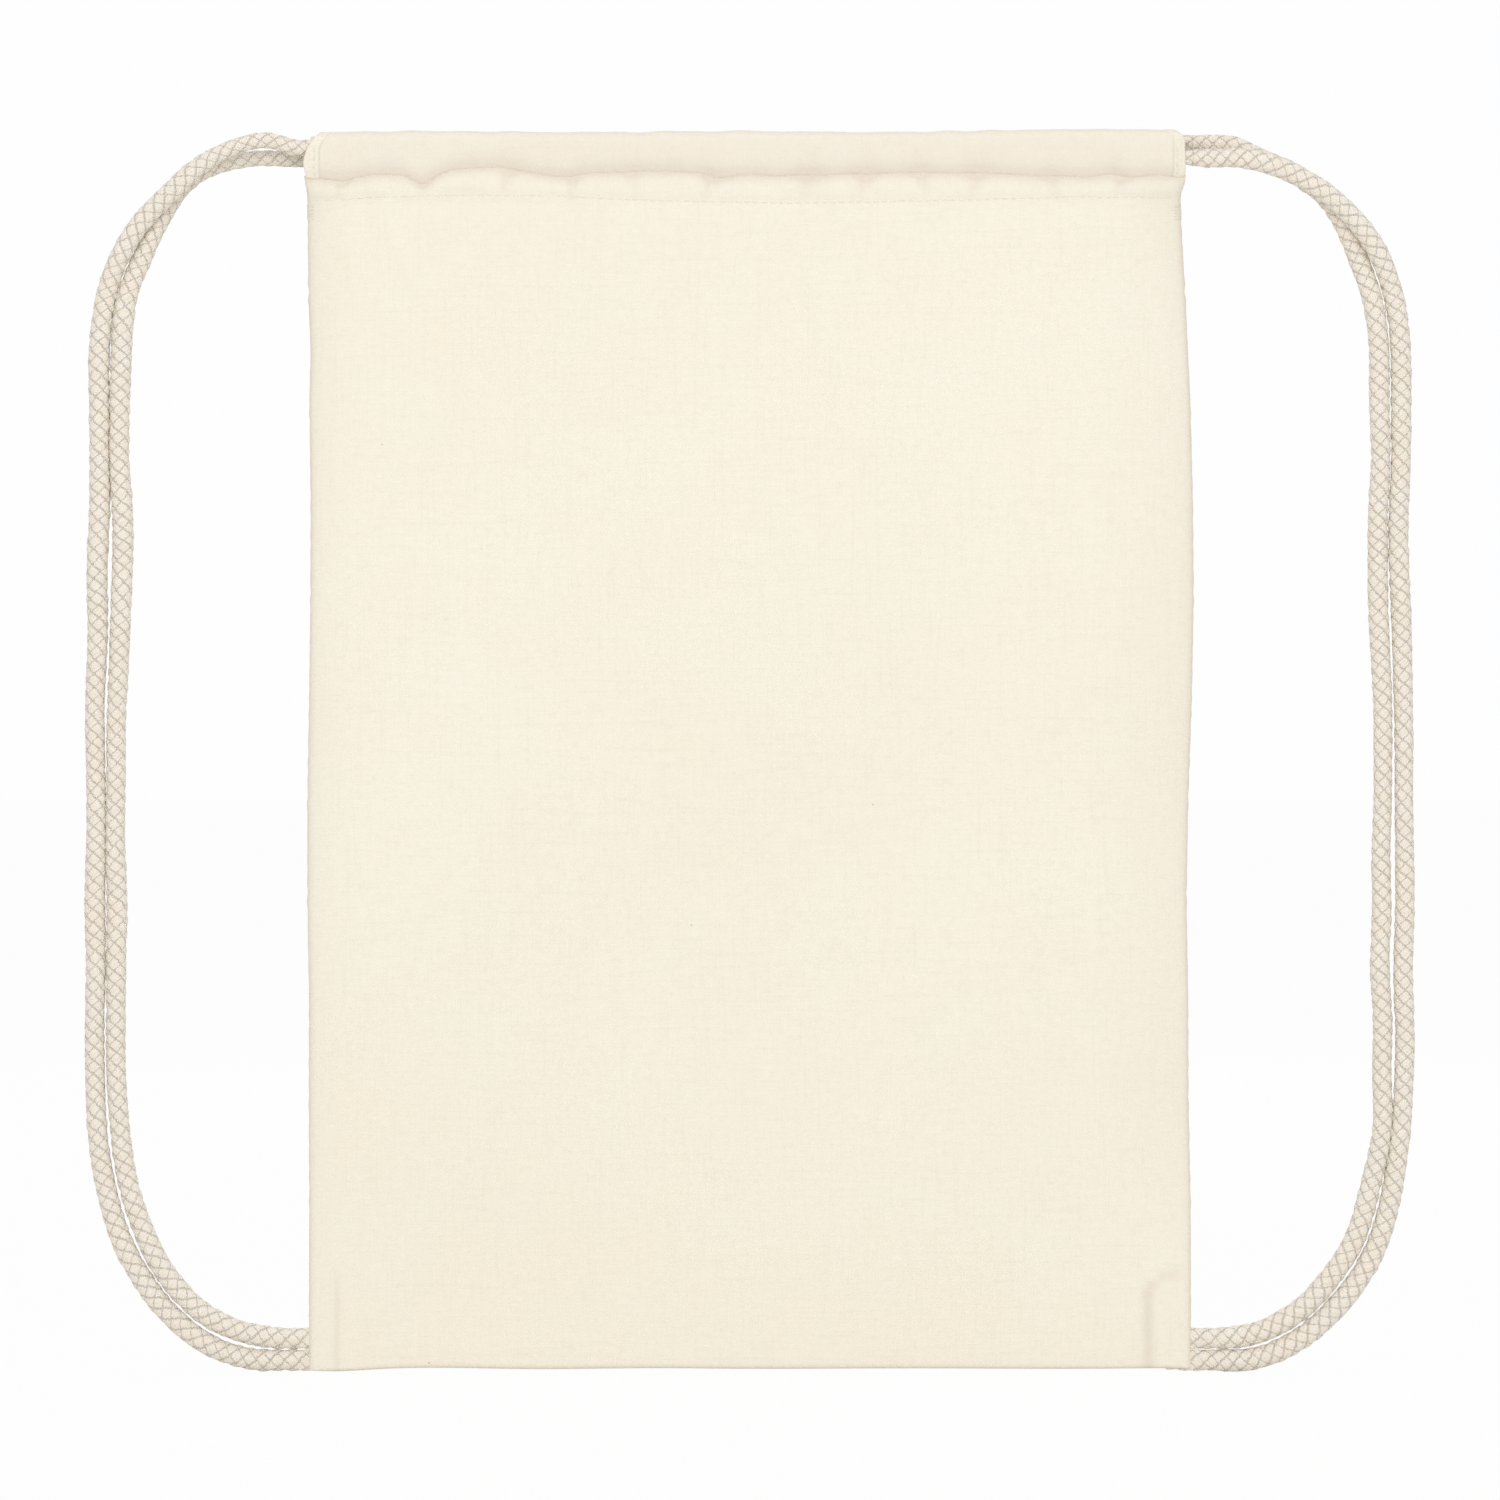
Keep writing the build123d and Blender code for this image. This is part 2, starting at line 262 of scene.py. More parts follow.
class Shader:
    """A material with a Principled surface, and short ways to add nodes to it."""

    def __init__(self, name):
        self.material = bpy.data.materials.new(name)
        self.material.use_nodes = True
        self.tree = self.material.node_tree
        self.tree.nodes.clear()
        self.output = self.node("ShaderNodeOutputMaterial")
        self.principled = self.node("ShaderNodeBsdfPrincipled")
        fill(self.tree, self.output, {0: self.principled.outputs[0]})

    def node(self, kind, inputs=None, **settings):
        return add_node(self.tree, kind, inputs, **settings)

    def surface(self, inputs):
        fill(self.tree, self.principled, inputs)

    def place(self):
        return self.node("ShaderNodeTexCoord").outputs["Object"]

    def attribute(self, name):
        return self.node("ShaderNodeAttribute", attribute_name=name).outputs["Fac"]

    def math(self, operation, first, second=0.0, clamp=False):
        return self.node("ShaderNodeMath", {0: first, 1: second},
                         operation=operation, use_clamp=clamp).outputs[0]

    def times(self, first, second, clamp=False):
        return self.math("MULTIPLY", first, second, clamp)

    def plus(self, first, second):
        return self.math("ADD", first, second)

    def sine(self, value):
        return self.math("SINE", value)

    def weighted_sum(self, first, *others):
        """Sum of (pattern, weight) pairs."""
        total = self.times(*first)
        for pair in others:
            total = self.plus(total, self.times(*pair))
        return total

    def noise(self, place, scale, detail=2.0, roughness=0.5):
        return self.node("ShaderNodeTexNoise", {
            "Vector": place, "Scale": scale, "Detail": detail, "Roughness": roughness,
        }).outputs[0]

    def ramp(self, value, start, end, low=0.0, high=1.0):
        """Map start..end to low..high."""
        return self.node("ShaderNodeMapRange", {
            "Value": value, "From Min": start, "From Max": end, "To Min": low, "To Max": high,
        }).outputs[0]

    def mix(self, factor, first, second):
        return self.node("ShaderNodeMix", {0: factor, 6: first, 7: second},
                         data_type="RGBA").outputs[2]

    def layers(self, colour, table):
        """Lay tints over a colour: (pattern, where it begins, where it is full, strength, tint)."""
        for pattern, start, end, strength, over in table:
            factor = self.ramp(pattern, start, end, high=strength)
            colour = self.mix(factor, colour, over)
        return colour

    def bump(self, height, strength, distance):
        return self.node("ShaderNodeBump", {
            "Height": height, "Strength": strength, "Distance": distance,
        }).outputs[0]


def canvas_material():
    """Plain-woven natural cotton: threads, slubs, mottling, specks and a soft nap, with painted
    shade laid on from the mesh.
    """
    base = (0.868, 0.822, 0.705, 1)
    dark = tint(base, 0.90, 0.885, 0.85)
    warm = tint(base, 1.012, 0.988, 0.97)
    light = tint(base, 1.02, 1.025, 1.04)
    marked = tint(base, 0.90, 0.86, 0.86)
    speck_colour = (0.36, 0.25, 0.15, 1)
    slub_stretch = 0.045
    shader = Shader("natural_canvas")
    times, plus, sine, noise = shader.times, shader.plus, shader.sine, shader.noise
    place = shader.place()
    axes = shader.node("ShaderNodeSeparateXYZ", {0: place}).outputs

    # threads both ways: axis, spacing, scale of the noise that makes them wander
    phases = []
    for axis, spacing, wander_scale in ((0, 0.00062, 90), (2, 0.00066, 60)):
        wander = times(noise(place, wander_scale), 9.0)
        phases.append(plus(times(axes[axis], 2 * math.pi / spacing), wander))
    ridges = [sine(phase) for phase in phases]
    crossings = times(*[sine(times(phase, 0.5)) for phase in phases])
    weave = plus(times(plus(*ridges), 0.25), times(crossings, 0.5))

    # thick places along single threads, upright and level
    slubs = []
    for scale in ((1.0, 1.0, slub_stretch), (slub_stretch, 1.0, 1.0)):
        drawn = shader.node("ShaderNodeMapping", {"Vector": place, "Scale": scale}).outputs[0]
        slubs.append(noise(drawn, 900, detail=2, roughness=0.55))
    mottle = noise(place, 26, detail=3, roughness=0.55)
    fine = noise(place, 420, detail=3, roughness=0.6)
    grain = noise(place, 1500, detail=2, roughness=0.6)
    broad = noise(place, 7, detail=2, roughness=0.5)
    colour = shader.layers(base, (
        (mottle, 0.35, 0.7, 0.9, warm),
        (broad, 0.35, 0.7, 0.7, light),
        (slubs[0], 0.52, 0.78, 0.26, dark),
        (slubs[1], 0.52, 0.78, 0.24, dark),
        (weave, 0.1, -0.7, 0.30, dark),
        (fine, 0.5, 0.75, 0.30, dark),
    ))

    # sparse specks: the middles of a few cells, each of its own strength
    cell = shader.node("ShaderNodeTexVoronoi",
                       {"Vector": place, "Scale": 62.0, "Randomness": 1.0})
    pick = shader.node("ShaderNodeSeparateXYZ", {0: cell.outputs["Color"]}).outputs
    speck = times(shader.ramp(cell.outputs["Distance"], start=0.028, end=0.012),
                  shader.ramp(pick[0], start=0.62, end=0.7))
    speck = times(speck, shader.ramp(pick[1], start=0.0, end=1.0, low=0.15, high=0.75))
    colour = shader.mix(speck, colour, speck_colour)
    # painted shade from the mesh attribute: darker in the creases and tucks, along the edges and
    # over the sleeves
    colour = shader.mix(times(shader.attribute("mark"), 1.0, clamp=True), colour, marked)

    height = shader.weighted_sum(
        (weave, 0.5), (slubs[0], 0.9), (slubs[1], 0.9), (fine, 1.2), (grain, 0.5))
    shader.surface({
        "Base Color": colour,
        "Normal": shader.bump(height, strength=0.42, distance=0.0002),
        "Roughness": shader.ramp(fine, start=0.3, end=0.7, low=0.84, high=0.97),
        "Specular IOR Level": 0.18,
        "Sheen Weight": 0.12,
        "Sheen Roughness": 0.6,
    })
    return shader.material


def cord_material():
    """Braided cotton: fibres along the yarn, with painted shade where bundles dive under others."""
    base = (0.868, 0.808, 0.703, 1)
    fibre_tone_and_groove_shade = tint(base, 0.92, 0.90, 0.875)
    pink = tint(base, 1.03, 0.985, 0.97)
    pale = tint(base, 1.04, 1.05, 1.08)
    plies = 3
    shader = Shader("braided_cotton")
    times, noise = shader.times, shader.noise
    place = shader.place()
    height = shader.attribute("height")
    across = shader.attribute("across")
    along = shader.attribute("along")
    yarn = shader.node("ShaderNodeCombineXYZ", {0: across, 1: times(along, 0.22)}).outputs[0]
    fibre = noise(yarn, 16, detail=3, roughness=0.6)
    ply = shader.sine(times(across, 2 * math.pi * plies))
    mottle = noise(place, 240, detail=3, roughness=0.6)
    broad = noise(place, 45, detail=2, roughness=0.5)
    colour = shader.layers(base, (
        (broad, 0.35, 0.65, 1.0, pink),
        (mottle, 0.4, 0.7, 0.8, pale),
        (fibre, 0.45, 0.8, 0.22, fibre_tone_and_groove_shade),
        (ply, -0.2, -1.0, 0.16, fibre_tone_and_groove_shade),
        # painted shade in the grooves, where the braid surface lies low
        (height, 0.6, 0.0, 0.38, fibre_tone_and_groove_shade),
    ))
    grain = noise(place, 1300, detail=2)
    roughened = shader.weighted_sum((fibre, 1.2), (ply, 0.35), (grain, 0.6))
    shader.surface({
        "Base Color": colour,
        "Normal": shader.bump(roughened, strength=0.7, distance=0.0003),
        "Roughness": 0.9,
        "Specular IOR Level": 0.2,
        "Sheen Weight": 0.2,
        "Sheen Roughness": 0.5,
    })
    return shader.material


def thread_material():
    base = (0.86, 0.815, 0.70, 1)
    shader = Shader("cotton_thread")
    grain = shader.noise(shader.place(), 2200, detail=2)
    colour = shader.layers(base, ((grain, 0.35, 0.7, 0.7, tint(base, 0.86, 0.86, 0.86)),))
    shader.surface({
        "Base Color": colour,
        "Normal": shader.bump(grain, strength=0.5, distance=0.0001),
        "Roughness": 0.75,
        "Sheen Weight": 0.2,
    })
    return shader.material


MATERIALS = {
    "canvas": canvas_material(),
    "cord": cord_material(),
    "thread": thread_material(),
}

# ---------------------------------------------------------------- the shape of the bag

CLOTH_TOP = 434.4       # where the bag cloth disappears under the sleeves
CLOTH = 0.6             # thickness of the cloth
ALLOWANCE = {LEFT: 10.0, RIGHT: 15.5}       # width of the seam allowances inside

# side edges of the bag: heights, then x
SIDE_EDGE = {
    LEFT: (
        [0, 61, 98, 134, 170, 206, 242, 279, 315, 351, 369, 387, 411, 424, 430, 433, 436,
         441.5, 450],
        [-159.3, -159.1, -159.3, -159.2, -159.8, -159.8, -159.2, -158.7, -158.6, -159.1,
         -158.6, -159.4, -159.6, -159.8, -160.1, -160.8, -161.2, -160.0, -159.9]),
    RIGHT: (
        [0, 25, 61, 98, 134, 170, 206, 242, 279, 315, 351, 369, 387, 411, 424, 428, 433, 450],
        [159.2, 159.2, 159.1, 158.3, 158.2, 157.6, 158.2, 159.5, 160.2, 159.9, 159.0, 158.1,
         157.3, 155.9, 155.4, 155.8, 157.3, 156.8]),
}
# crease under the front sleeve: x, then heights
FRONT_CREASE = (
    [-160, -148, -141, -131, -124, -121, -117.5, -113, -108, -99, -90.5, -79.6, -65, -54.3,
     -36, -18, -11, -4, 18, 54, 81, 119, 127, 132, 138, 146, 160],
    [433.0, 431.9, 433.0, 434.1, 433.5, 431.4, 430.6, 433.6, 435.3, 436.5, 436.8, 434.4,
     433.2, 434.6, 435.2, 434.5, 432.9, 433.6, 433.6, 434.6, 434.5, 433.0, 433.7, 434.1,
     432.9, 433.7, 433.6])
# stitching of the front sleeve: x, then heights
FRONT_STITCHING = (
    [-159, -134, -108, -69, -36, 18, 72, 119, 155],
    [422.9, 424.0, 424.7, 424.4, 422.8, 421.9, 422.8, 424.2, 424.0])
# plain half thickness: heights, then distance from the middle plane
HALF_THICKNESS = (
    [0, 8, 40, 90, 200, 330, 400, 426, 440],
    [2.4, 3.0, 4.3, 5.3, 6.1, 6.7, 7.6, 8.5, 8.6])
# x of the tucks under the front sleeve
FRONT_TUCKS = [-147, -117.6, -88, -63.5, -42.4, -14, 21, 41.5, 62, 81.5, 109, 134]


def edge_x(z, side):
    return np.interp(z, *SIDE_EDGE[side])


def stitch_z(x, face):
    """Height of the sleeve stitching."""
    if face == FRONT:
        return np.interp(x, *FRONT_STITCHING)
    return 423.6 + 0.6 * waves(x, 15, 70, 200)


def crease_z(x, face):
    """Height of the crease under the sleeve."""
    if face == FRONT:
        return np.interp(x, *FRONT_CREASE) - 2.0 + 0.28 * waves(x, 13, 12, 30)
    return 432.4 + 1.1 * waves(x, 12, 40, 130) + 0.5 * waves(x, 14, 14, 30)


def fold_z(x):
    """Height of the bottom fold."""
    return 0.5 + 0.45 * waves(x, 51, 60, 220) - 0.7 * bell(x + 150, 14)


def pucker(x, z, face):
    """Small gathers round the sleeve stitching, strongest above it and fading below."""
    gate = smooth(waves(x, 21 + face, 30, 90), -0.5, 0.9)
    lean = (z - 425.5) * 0.55 * np.sin(x / 23.0 + face)
    fine = waves(x + lean, 23 + face, 9, 17, 7)
    coarse = waves(x + 0.5 * lean, 25 + face, 18, 34, 7)
    depth = np.clip(425.5 - z, 0, None)
    above = 1 - smooth(z, 431, 441)
    near = (0.34 * fine * gate + 0.30 * coarse) * np.exp(-depth / 24.0) * above
    return near + 0.22 * coarse * np.exp(-depth / 95.0) * above


def tucks(x, z, face):
    """V-shaped tucks: wide at the crease, running out to a point near the stitching."""
    random = np.random.default_rng(31 + face)
    out = np.zeros(np.broadcast(x, z).shape)
    if face == FRONT:
        centres = FRONT_TUCKS
    else:
        centres = np.linspace(-140, 140, 12) + random.uniform(-8, 8, 12)
    for centre in centres:
        slant = random.uniform(-0.45, 0.45)
        spread = random.uniform(2.6, 4.6)
        depth = random.uniform(0.65, 1.25)
        point = random.uniform(420.0, 424.5)
        opening = np.clip((z - point) / (433.0 - point), 0, 1)
        offset = x - (centre + slant * (z - 430))
        width = 0.7 + spread * opening
        out = out - depth * opening ** 0.8 * bell(offset, width) * (1 - smooth(z, 434.5, 440.5))
        # the cloth stands up a little on each side of a tuck
        banks = bell(offset - 1.9 * width, width) + bell(offset + 1.9 * width, width)
        out = out + 0.35 * depth * opening * banks * (1 - smooth(z, 433, 438))
    return out


def corner_top(x):
    """Upper edge of the bottom right patch where the seam allowance shows through."""
    return 30.5 + 4.5 * smooth(x, 144, 151)


def relief(x, z, face):
    """What lifts or sinks a face of the bag from its plain shape, outwards positive."""
    soft = waves2(x, z, 41 + face, 55, 170, 12, stretch=1.6)
    soft = 0.55 * soft * smooth(z, 0, 40) * (1 - 0.6 * smooth(z, 380, 425))
    out = soft + pucker(x, z, face) + tucks(x, z, face)
    if face == FRONT:
        # a short fold beside the left seam, level with the stitching
        fold = bell(z - 422.9 - 0.03 * (x + 159), 0.6)
        out = out - 0.7 * fold * smooth(x, -159, -157) * (1 - smooth(x, -149, -146))
    # the seam allowances and cord ends press through at the bottom right and left corners
    below = 1 - smooth(z - corner_top(x), -1.6, 1.6)
    out = out + 0.34 * smooth(x, 143.2, 145.2) * below * (1 - smooth(x, 149, 158))
    below = 1 - smooth(z, 30, 38)
    return out + 0.26 * smooth(-x, 149.0, 150.6) * below * (1 - smooth(-x, 152, 158))


def thickness(x, z, face):
    """Outward distance of one face from the middle plane."""
    margin = np.minimum(x - edge_x(z, LEFT), edge_x(z, RIGHT) - x)
    full = np.interp(z, *HALF_THICKNESS) + relief(x, z, face)
    edge = 1.3 + 6.9 * smooth(z, 419, 433.5)
    out = edge + (full - edge) * (1 - np.exp(-np.clip(margin, 0, None) / 9.0))
    # rounded fold at the bottom
    height = z - fold_z(x)
    rise = np.clip(height, 0, 1.9)
    fold = 2.6 * np.sqrt(np.clip(1 - (1 - rise / 1.9) ** 2, 0, 1))
    fold_share = 1 - smooth(height, 1.2, 4.0)
    out = out * (1 - fold_share) + np.minimum(fold, out) * fold_share
    # stitched valley with a bank above it
    above = z - stitch_z(x, face)
    out = out - (0.22 + 0.12 * waves(x, 27 + face, 14, 40)) * bell(above, 0.9)
    out = out + 0.12 * bell(above - 2.6, 1.5)
    # crease under the sleeve
    above = z - crease_z(x, face)
    return out - 0.9 * smooth(above, -6.5, 0.5) - 1.15 * smooth(above, -3.4, 0.8)


def room_inside(x, z, face):
    """Greatest outward distance for the sleeve cloth lying inside the bag."""
    return thickness(x, z, face) - CLOTH - 0.5


# ---------------------------------------------------------------- bag cloth: one folded length


def face_grid(levels, across, face, lining):
    """Vertices of the outside (lining=0) or inside (lining=1) of one face, level by level."""
    left = edge_x(levels, LEFT)[:, None] + lining * 1.5
    right = edge_x(levels, RIGHT)[:, None] - lining * 1.5
    x = (left + right) / 2 + (right - left) / 2 * across[None]
    height = levels[:, None]
    z = fold_z(x) * (1 - smooth(height, 0, 30)) + height
    z = z + (crease_z(x, face) + 0.7 - CLOTH_TOP) * smooth(height, 408, CLOTH_TOP)
    out = thickness(x, z, face) - lining * CLOTH
    return np.stack([x, OUTWARD[face] * np.maximum(out, 0.35), z], -1)


def fold_faces(front, back, fold, count):
    """Quads from the lowest front and back rows to the fold line; takes first vertices."""
    i = np.arange(count - 1)
    front_quads = np.stack([front + i, front + i + 1, fold + i + 1, fold + i], -1)
    last = fold + count - 1 - i
    back_quads = np.stack([back + i, back + i + 1, last - 1, last], -1)
    return np.concatenate([front_quads, back_quads])


def outer_skin(across, levels):
    """Outside of the bag: rings going front, right edge, back, left edge; then the fold line."""
    count = len(across)
    front, back = (face_grid(levels, across, face, 0) for face in (FRONT, BACK))
    roll = 0.45 + 0.12 * waves(levels, 61, 4, 12)

    def edge_line(column, out):
        middle = (front[:, column] + back[:, column]) / 2
        return np.stack([middle[:, 0] + out, np.zeros(len(levels)), middle[:, 2]], -1)[:, None]

    ring = np.concatenate(
        [front, edge_line(-1, roll), back[:, ::-1], edge_line(0, -roll)], 1)
    around = ring.shape[1]
    x = front[0, :, 0]
    fold = len(levels) * around
    fold_line = np.stack([x, np.zeros(count), fold_z(x) + 0.02], -1)
    corners = np.array([
        [count - 1, count, fold + count - 1], [count, count + 1, fold + count - 1],
        [around - 2, around - 1, fold], [around - 1, 0, fold]])
    faces = [
        grid_faces(len(levels), around, wrap=True, flip=True),
        wind(fold_faces(0, count + 1, fold, count), True),
        wind(corners, True),
    ]
    return np.concatenate([ring.reshape(-1, 3), fold_line]), faces


def lining_skin(across, levels, first):
    """Inside of the bag: rings going front then back; then the fold line."""
    count = len(across)
    grids = [face_grid(levels, across, face, 1) for face in (FRONT, BACK)]
    for grid in grids:
        grid[:, :, 2] += 0.75 * (1 - smooth(levels, 0, 12))[:, None]
    front, back = grids
    ring = np.concatenate([front, back[:, ::-1]], 1)
    around = ring.shape[1]
    fold = first + len(levels) * around
    fold_line = np.stack([front[0, :, 0], np.zeros(count), front[0, :, 2] - 0.25], -1)
    corners = np.array([[first + count - 1, first + count, fold + count - 1],
                        [first + around - 1, first, fold]])
    faces = [
        grid_faces(len(levels), around, first, wrap=True),
        fold_faces(first, first + count, fold, count),
        corners,
    ]
    return np.concatenate([ring.reshape(-1, 3), fold_line]), faces


def rim_faces(outer_first, outer_shares, inner_first, inner_shares, whole):
    """Triangles between two loops, walked together by each point's share of the way round."""
    outer_count, inner_count = len(outer_shares), len(inner_shares)
    outer_shares = np.r_[outer_shares, whole, whole]
    inner_shares = np.r_[inner_shares, whole, whole]
    i = j = 0
    triangles = []
    while i < outer_count or j < inner_count:
        outer_now = outer_first + i % outer_count
        inner_now = inner_first + j % inner_count
        outer_is_next = outer_shares[i + 1] <= inner_shares[j + 1] and i < outer_count
        if outer_is_next or j >= inner_count:
            i += 1
            triangles.append([outer_now, outer_first + i % outer_count, inner_now])
        else:
            j += 1
            triangles.append([outer_now, inner_first + j % inner_count, inner_now])
    return np.array(triangles)


def allowance(side, first):
    """Seam allowance turned inside: two layers sewn together along the side."""
    count = 120
    z = np.linspace(18, 420, count)
    seam = edge_x(z, side) - side * 0.9
    raw = seam - side * (ALLOWANCE[side] - 0.9 + 0.35 * waves(z, 71 + side, 5, 25))
    x = np.stack([seam, seam, raw, raw], 1)
    y = np.stack([
        np.full(count, -0.62), np.full(count, 0.62),
        0.62 + 0.1 * waves(z, 73, 6, 30), -0.62 + 0.1 * waves(z, 74, 6, 30)], 1)
    vertices = np.stack([x, y, np.repeat(z[:, None], 4, 1)], -1).reshape(-1, 3)
    last = first + len(vertices) - 1
    caps = np.array([[first, first + 1, first + 2, first + 3],
                     [last, last - 1, last - 2, last - 3]])
    flip = side == RIGHT
    return vertices, [grid_faces(count, 4, first, wrap=True, flip=flip), wind(caps, flip)]


def cloth_marks(vertices):
    """Painted shade: darker where the seam allowances press through at the bottom corners, along
    the side edges, in the tucks and under the sleeve crease.
    """
    x, y, z = vertices.T
    front = y < 0
    # painted shade lines at the bottom corners: left allowance, right allowance, top of the right
    # patch
    mark = 0.8 * bell(x + 149.4, 1.0) * (1 - smooth(z, 26, 40))
    mark += 1.1 * bell(x - 143.9, 1.9) * (1 - smooth(z, 28, 33))
    patch = smooth(x, 142.5, 145) * (1 - smooth(x, 153, 158))
    mark += 0.8 * bell(z - corner_top(x), 1.9) * patch
    # painted shade: broad towards the right, then along both side edges
    mark += 0.1375 * smooth(x, 120, 150) * smooth(z, 40, 90)
    mark += 0.7 * bell(np.minimum(x - edge_x(z, LEFT), edge_x(z, RIGHT) - x), 1.4)
    mark = mark * front
    # painted shade in the tucks, under the crease and just above the stitching, each on its own
    # face
    for face in (FRONT, BACK):
        tuck_and_crease_shade = np.clip(-tucks(x, z, face) * 0.9, 0, 1)
        tuck_and_crease_shade = tuck_and_crease_shade + 0.8 * smooth(z - crease_z(x, face), -3.5, 0.3)
        tuck_and_crease_shade = tuck_and_crease_shade + 0.15 * smooth(z, 420, 424)
        mark = mark + tuck_and_crease_shade * (front == (face == FRONT)) * (z > 415)
    return mark


def bag_cloth():
    count, inner_count = 172, 87
    # columns crowd towards the side edges
    across = np.sin(np.linspace(-1, 1, count) * 1.25) / math.sin(1.25)
    inner_across = np.interp(
        np.linspace(0, count - 1, inner_count), np.arange(count), across)
    levels = np.r_[0.3, 0.8, 1.5, 2.5, 3.8, 5.6,
                   np.linspace(7.8, 405, 136), np.linspace(406.6, CLOTH_TOP, 26)]
    inner_levels = np.r_[1.2, 2.2, 3.8, 6.2,
                         np.linspace(10, 405, 62), np.linspace(409, CLOTH_TOP, 12)]
    outer, outer_faces = outer_skin(across, levels)
    lining, lining_faces = lining_skin(inner_across, inner_levels, len(outer))

    # shares of the way round: each face takes 1, with 0.04 for the turn at a side edge
    share = np.linspace(0, 1, count)
    inner_share = np.interp(inner_across, across, share)
    inner_back = np.interp(inner_across[::-1], across, share)
    rim = rim_faces(
        (len(levels) - 1) * (2 * count + 2), np.r_[share, 1.02, 1.04 + share, 2.06],
        len(outer) + (len(inner_levels) - 1) * 2 * inner_count,
        np.r_[inner_share, 1.04 + 1 - inner_back], whole=2.08)

    vertices = np.concatenate([outer, lining])
    faces = outer_faces + lining_faces + [rim]
    for side in (LEFT, RIGHT):
        strip, strip_faces = allowance(side, len(vertices))
        vertices = np.concatenate([vertices, strip])
        faces += strip_faces
    cinch(piece("bag_cloth_sewn", vertices, faces, "canvas", "bag_cloth",
                mark=cloth_marks(vertices)))


# ---------------------------------------------------------------- the cord sleeves along the top

SLEEVE_END = {LEFT: 155.9, RIGHT: 153.4}        # distance of the sleeve ends from the middle
END_START = 138                 # beyond this distance the ends are drawn to the mouth's shape
HEM_X = {LEFT: -157.0, RIGHT: 154.4}            # where the turned-in end takes its profile
HEM_INSIDE = {LEFT: 155.4, RIGHT: 152.8}        # farthest start of the turned-in end
HEM_STITCH_X = {LEFT: -157.2, RIGHT: 154.2}
# painted shade on each turned-in end, stronger on the right
HEM_PAINTED_SHADE = {LEFT: 0.12, RIGHT: 0.36}
PROFILE_POINTS = 16
HEM_PROFILE_POINTS = 13


def sleeve_profile(x, face):
    """Control points (outward distance, height) of the sleeve cloth at each x.

    They go from the outside crease over the top to the raw edge inside.
    """
    crease = crease_z(x, face)
    top = 447.9 + 0.45 * waves(x, 81 + face, 70, 240) + 0.9 * smooth(x, 90, 150)
    top = top + 0.18 * waves(x, 82 + face, 12, 30) - 0.5 * (1 - smooth(x, -160, -120))
    belly = 0.30 * waves(x, 83 + face, 20, 70) + 0.20 * waves(x, 84 + face, 8, 18)
    low = relief(x, crease, face)
    points = [
        # outside, upwards
        (5.1 + 0.8 * low, crease + 0.5), (6.3 + low, crease + 0.45),
        (7.3 + 0.85 * low, crease + 2.0), (8.15 + 0.45 * low + 0.5 * belly, crease + 4.6),
        (8.55 + belly, 442.6), (7.9 + 0.6 * belly, top - 1.9),
        # over the top
        (5.2, top - 0.25), (3.35, top - 0.95),
        # inside, downwards
        (2.05, 445.5), (1.72, 441.6), (2.15, 438.1), (3.7, 435.7),
        (4.7, np.minimum(crease, 434.2) - 0.4), (5.4, 430.5), (6.0, 427.0), (6.2, 423.0),
    ]
    out = np.zeros((len(x), PROFILE_POINTS, 2))
    for k, (distance, z) in enumerate(points):
        out[:, k, 0] = distance
        out[:, k, 1] = z
    # keep the part below the crease inside the bag cloth
    for k, z in ((12, 431.8), (13, 430.5), (14, 427.0), (15, 423.0)):
        out[:, k, 0] = np.minimum(out[:, k, 0], room_inside(x, np.full(len(x), z), face))
    return out


def curve_matrix(controls, count):
    """Matrix that turns control points into a smooth curve (Catmull-Rom, by position)."""
    matrix = np.zeros((count, controls))
    for row, place in enumerate(np.linspace(0, controls - 1, count)):
        i = min(int(place), controls - 2)
        u = place - i
        weights = [
            -u / 2 + u * u - u ** 3 / 2, 1 - 2.5 * u * u + 1.5 * u ** 3,
            u / 2 + 2 * u * u - 1.5 * u ** 3, -u * u / 2 + u ** 3 / 2]
        for j, weight in zip(range(i - 1, i + 3), weights):
            matrix[row, min(max(j, 0), controls - 1)] += weight
    return matrix


def sleeve_curve(x, face, controls, count):
    """Points and outward normals, (x, count, 2), of the sleeve cloth's middle line."""
    profile = sleeve_profile(x, face)[:, :controls]
    points = np.einsum("nk,xkc->xnc", curve_matrix(controls, count), profile)
    along = np.gradient(points, axis=1)
    along /= np.linalg.norm(along, axis=2)[..., None]
    return points, np.stack([along[..., 1], -along[..., 0]], -1)


def hem_curve(x, face, count):
    points, normals = sleeve_curve(np.array([x]), face, HEM_PROFILE_POINTS, count)
    return points[0], normals[0]


def mouth_edge(z, side, face):
    """x of the sleeve's end: a slanted upper corner on the left, a rounded one on the right."""
    if side == LEFT:
        cut = 5.0 if face == FRONT else 1.2
        slant = cut * np.clip((z - 441.4) / 6.2, 0, 1.1) ** 1.15
        return edge_x(z, side) - 0.1 + slant + 0.2 * np.sin(z * 0.7)
    return edge_x(z, side) - 4.6 * np.clip((z - 444.2) / 4.8, 0, 1.05) ** 2.2


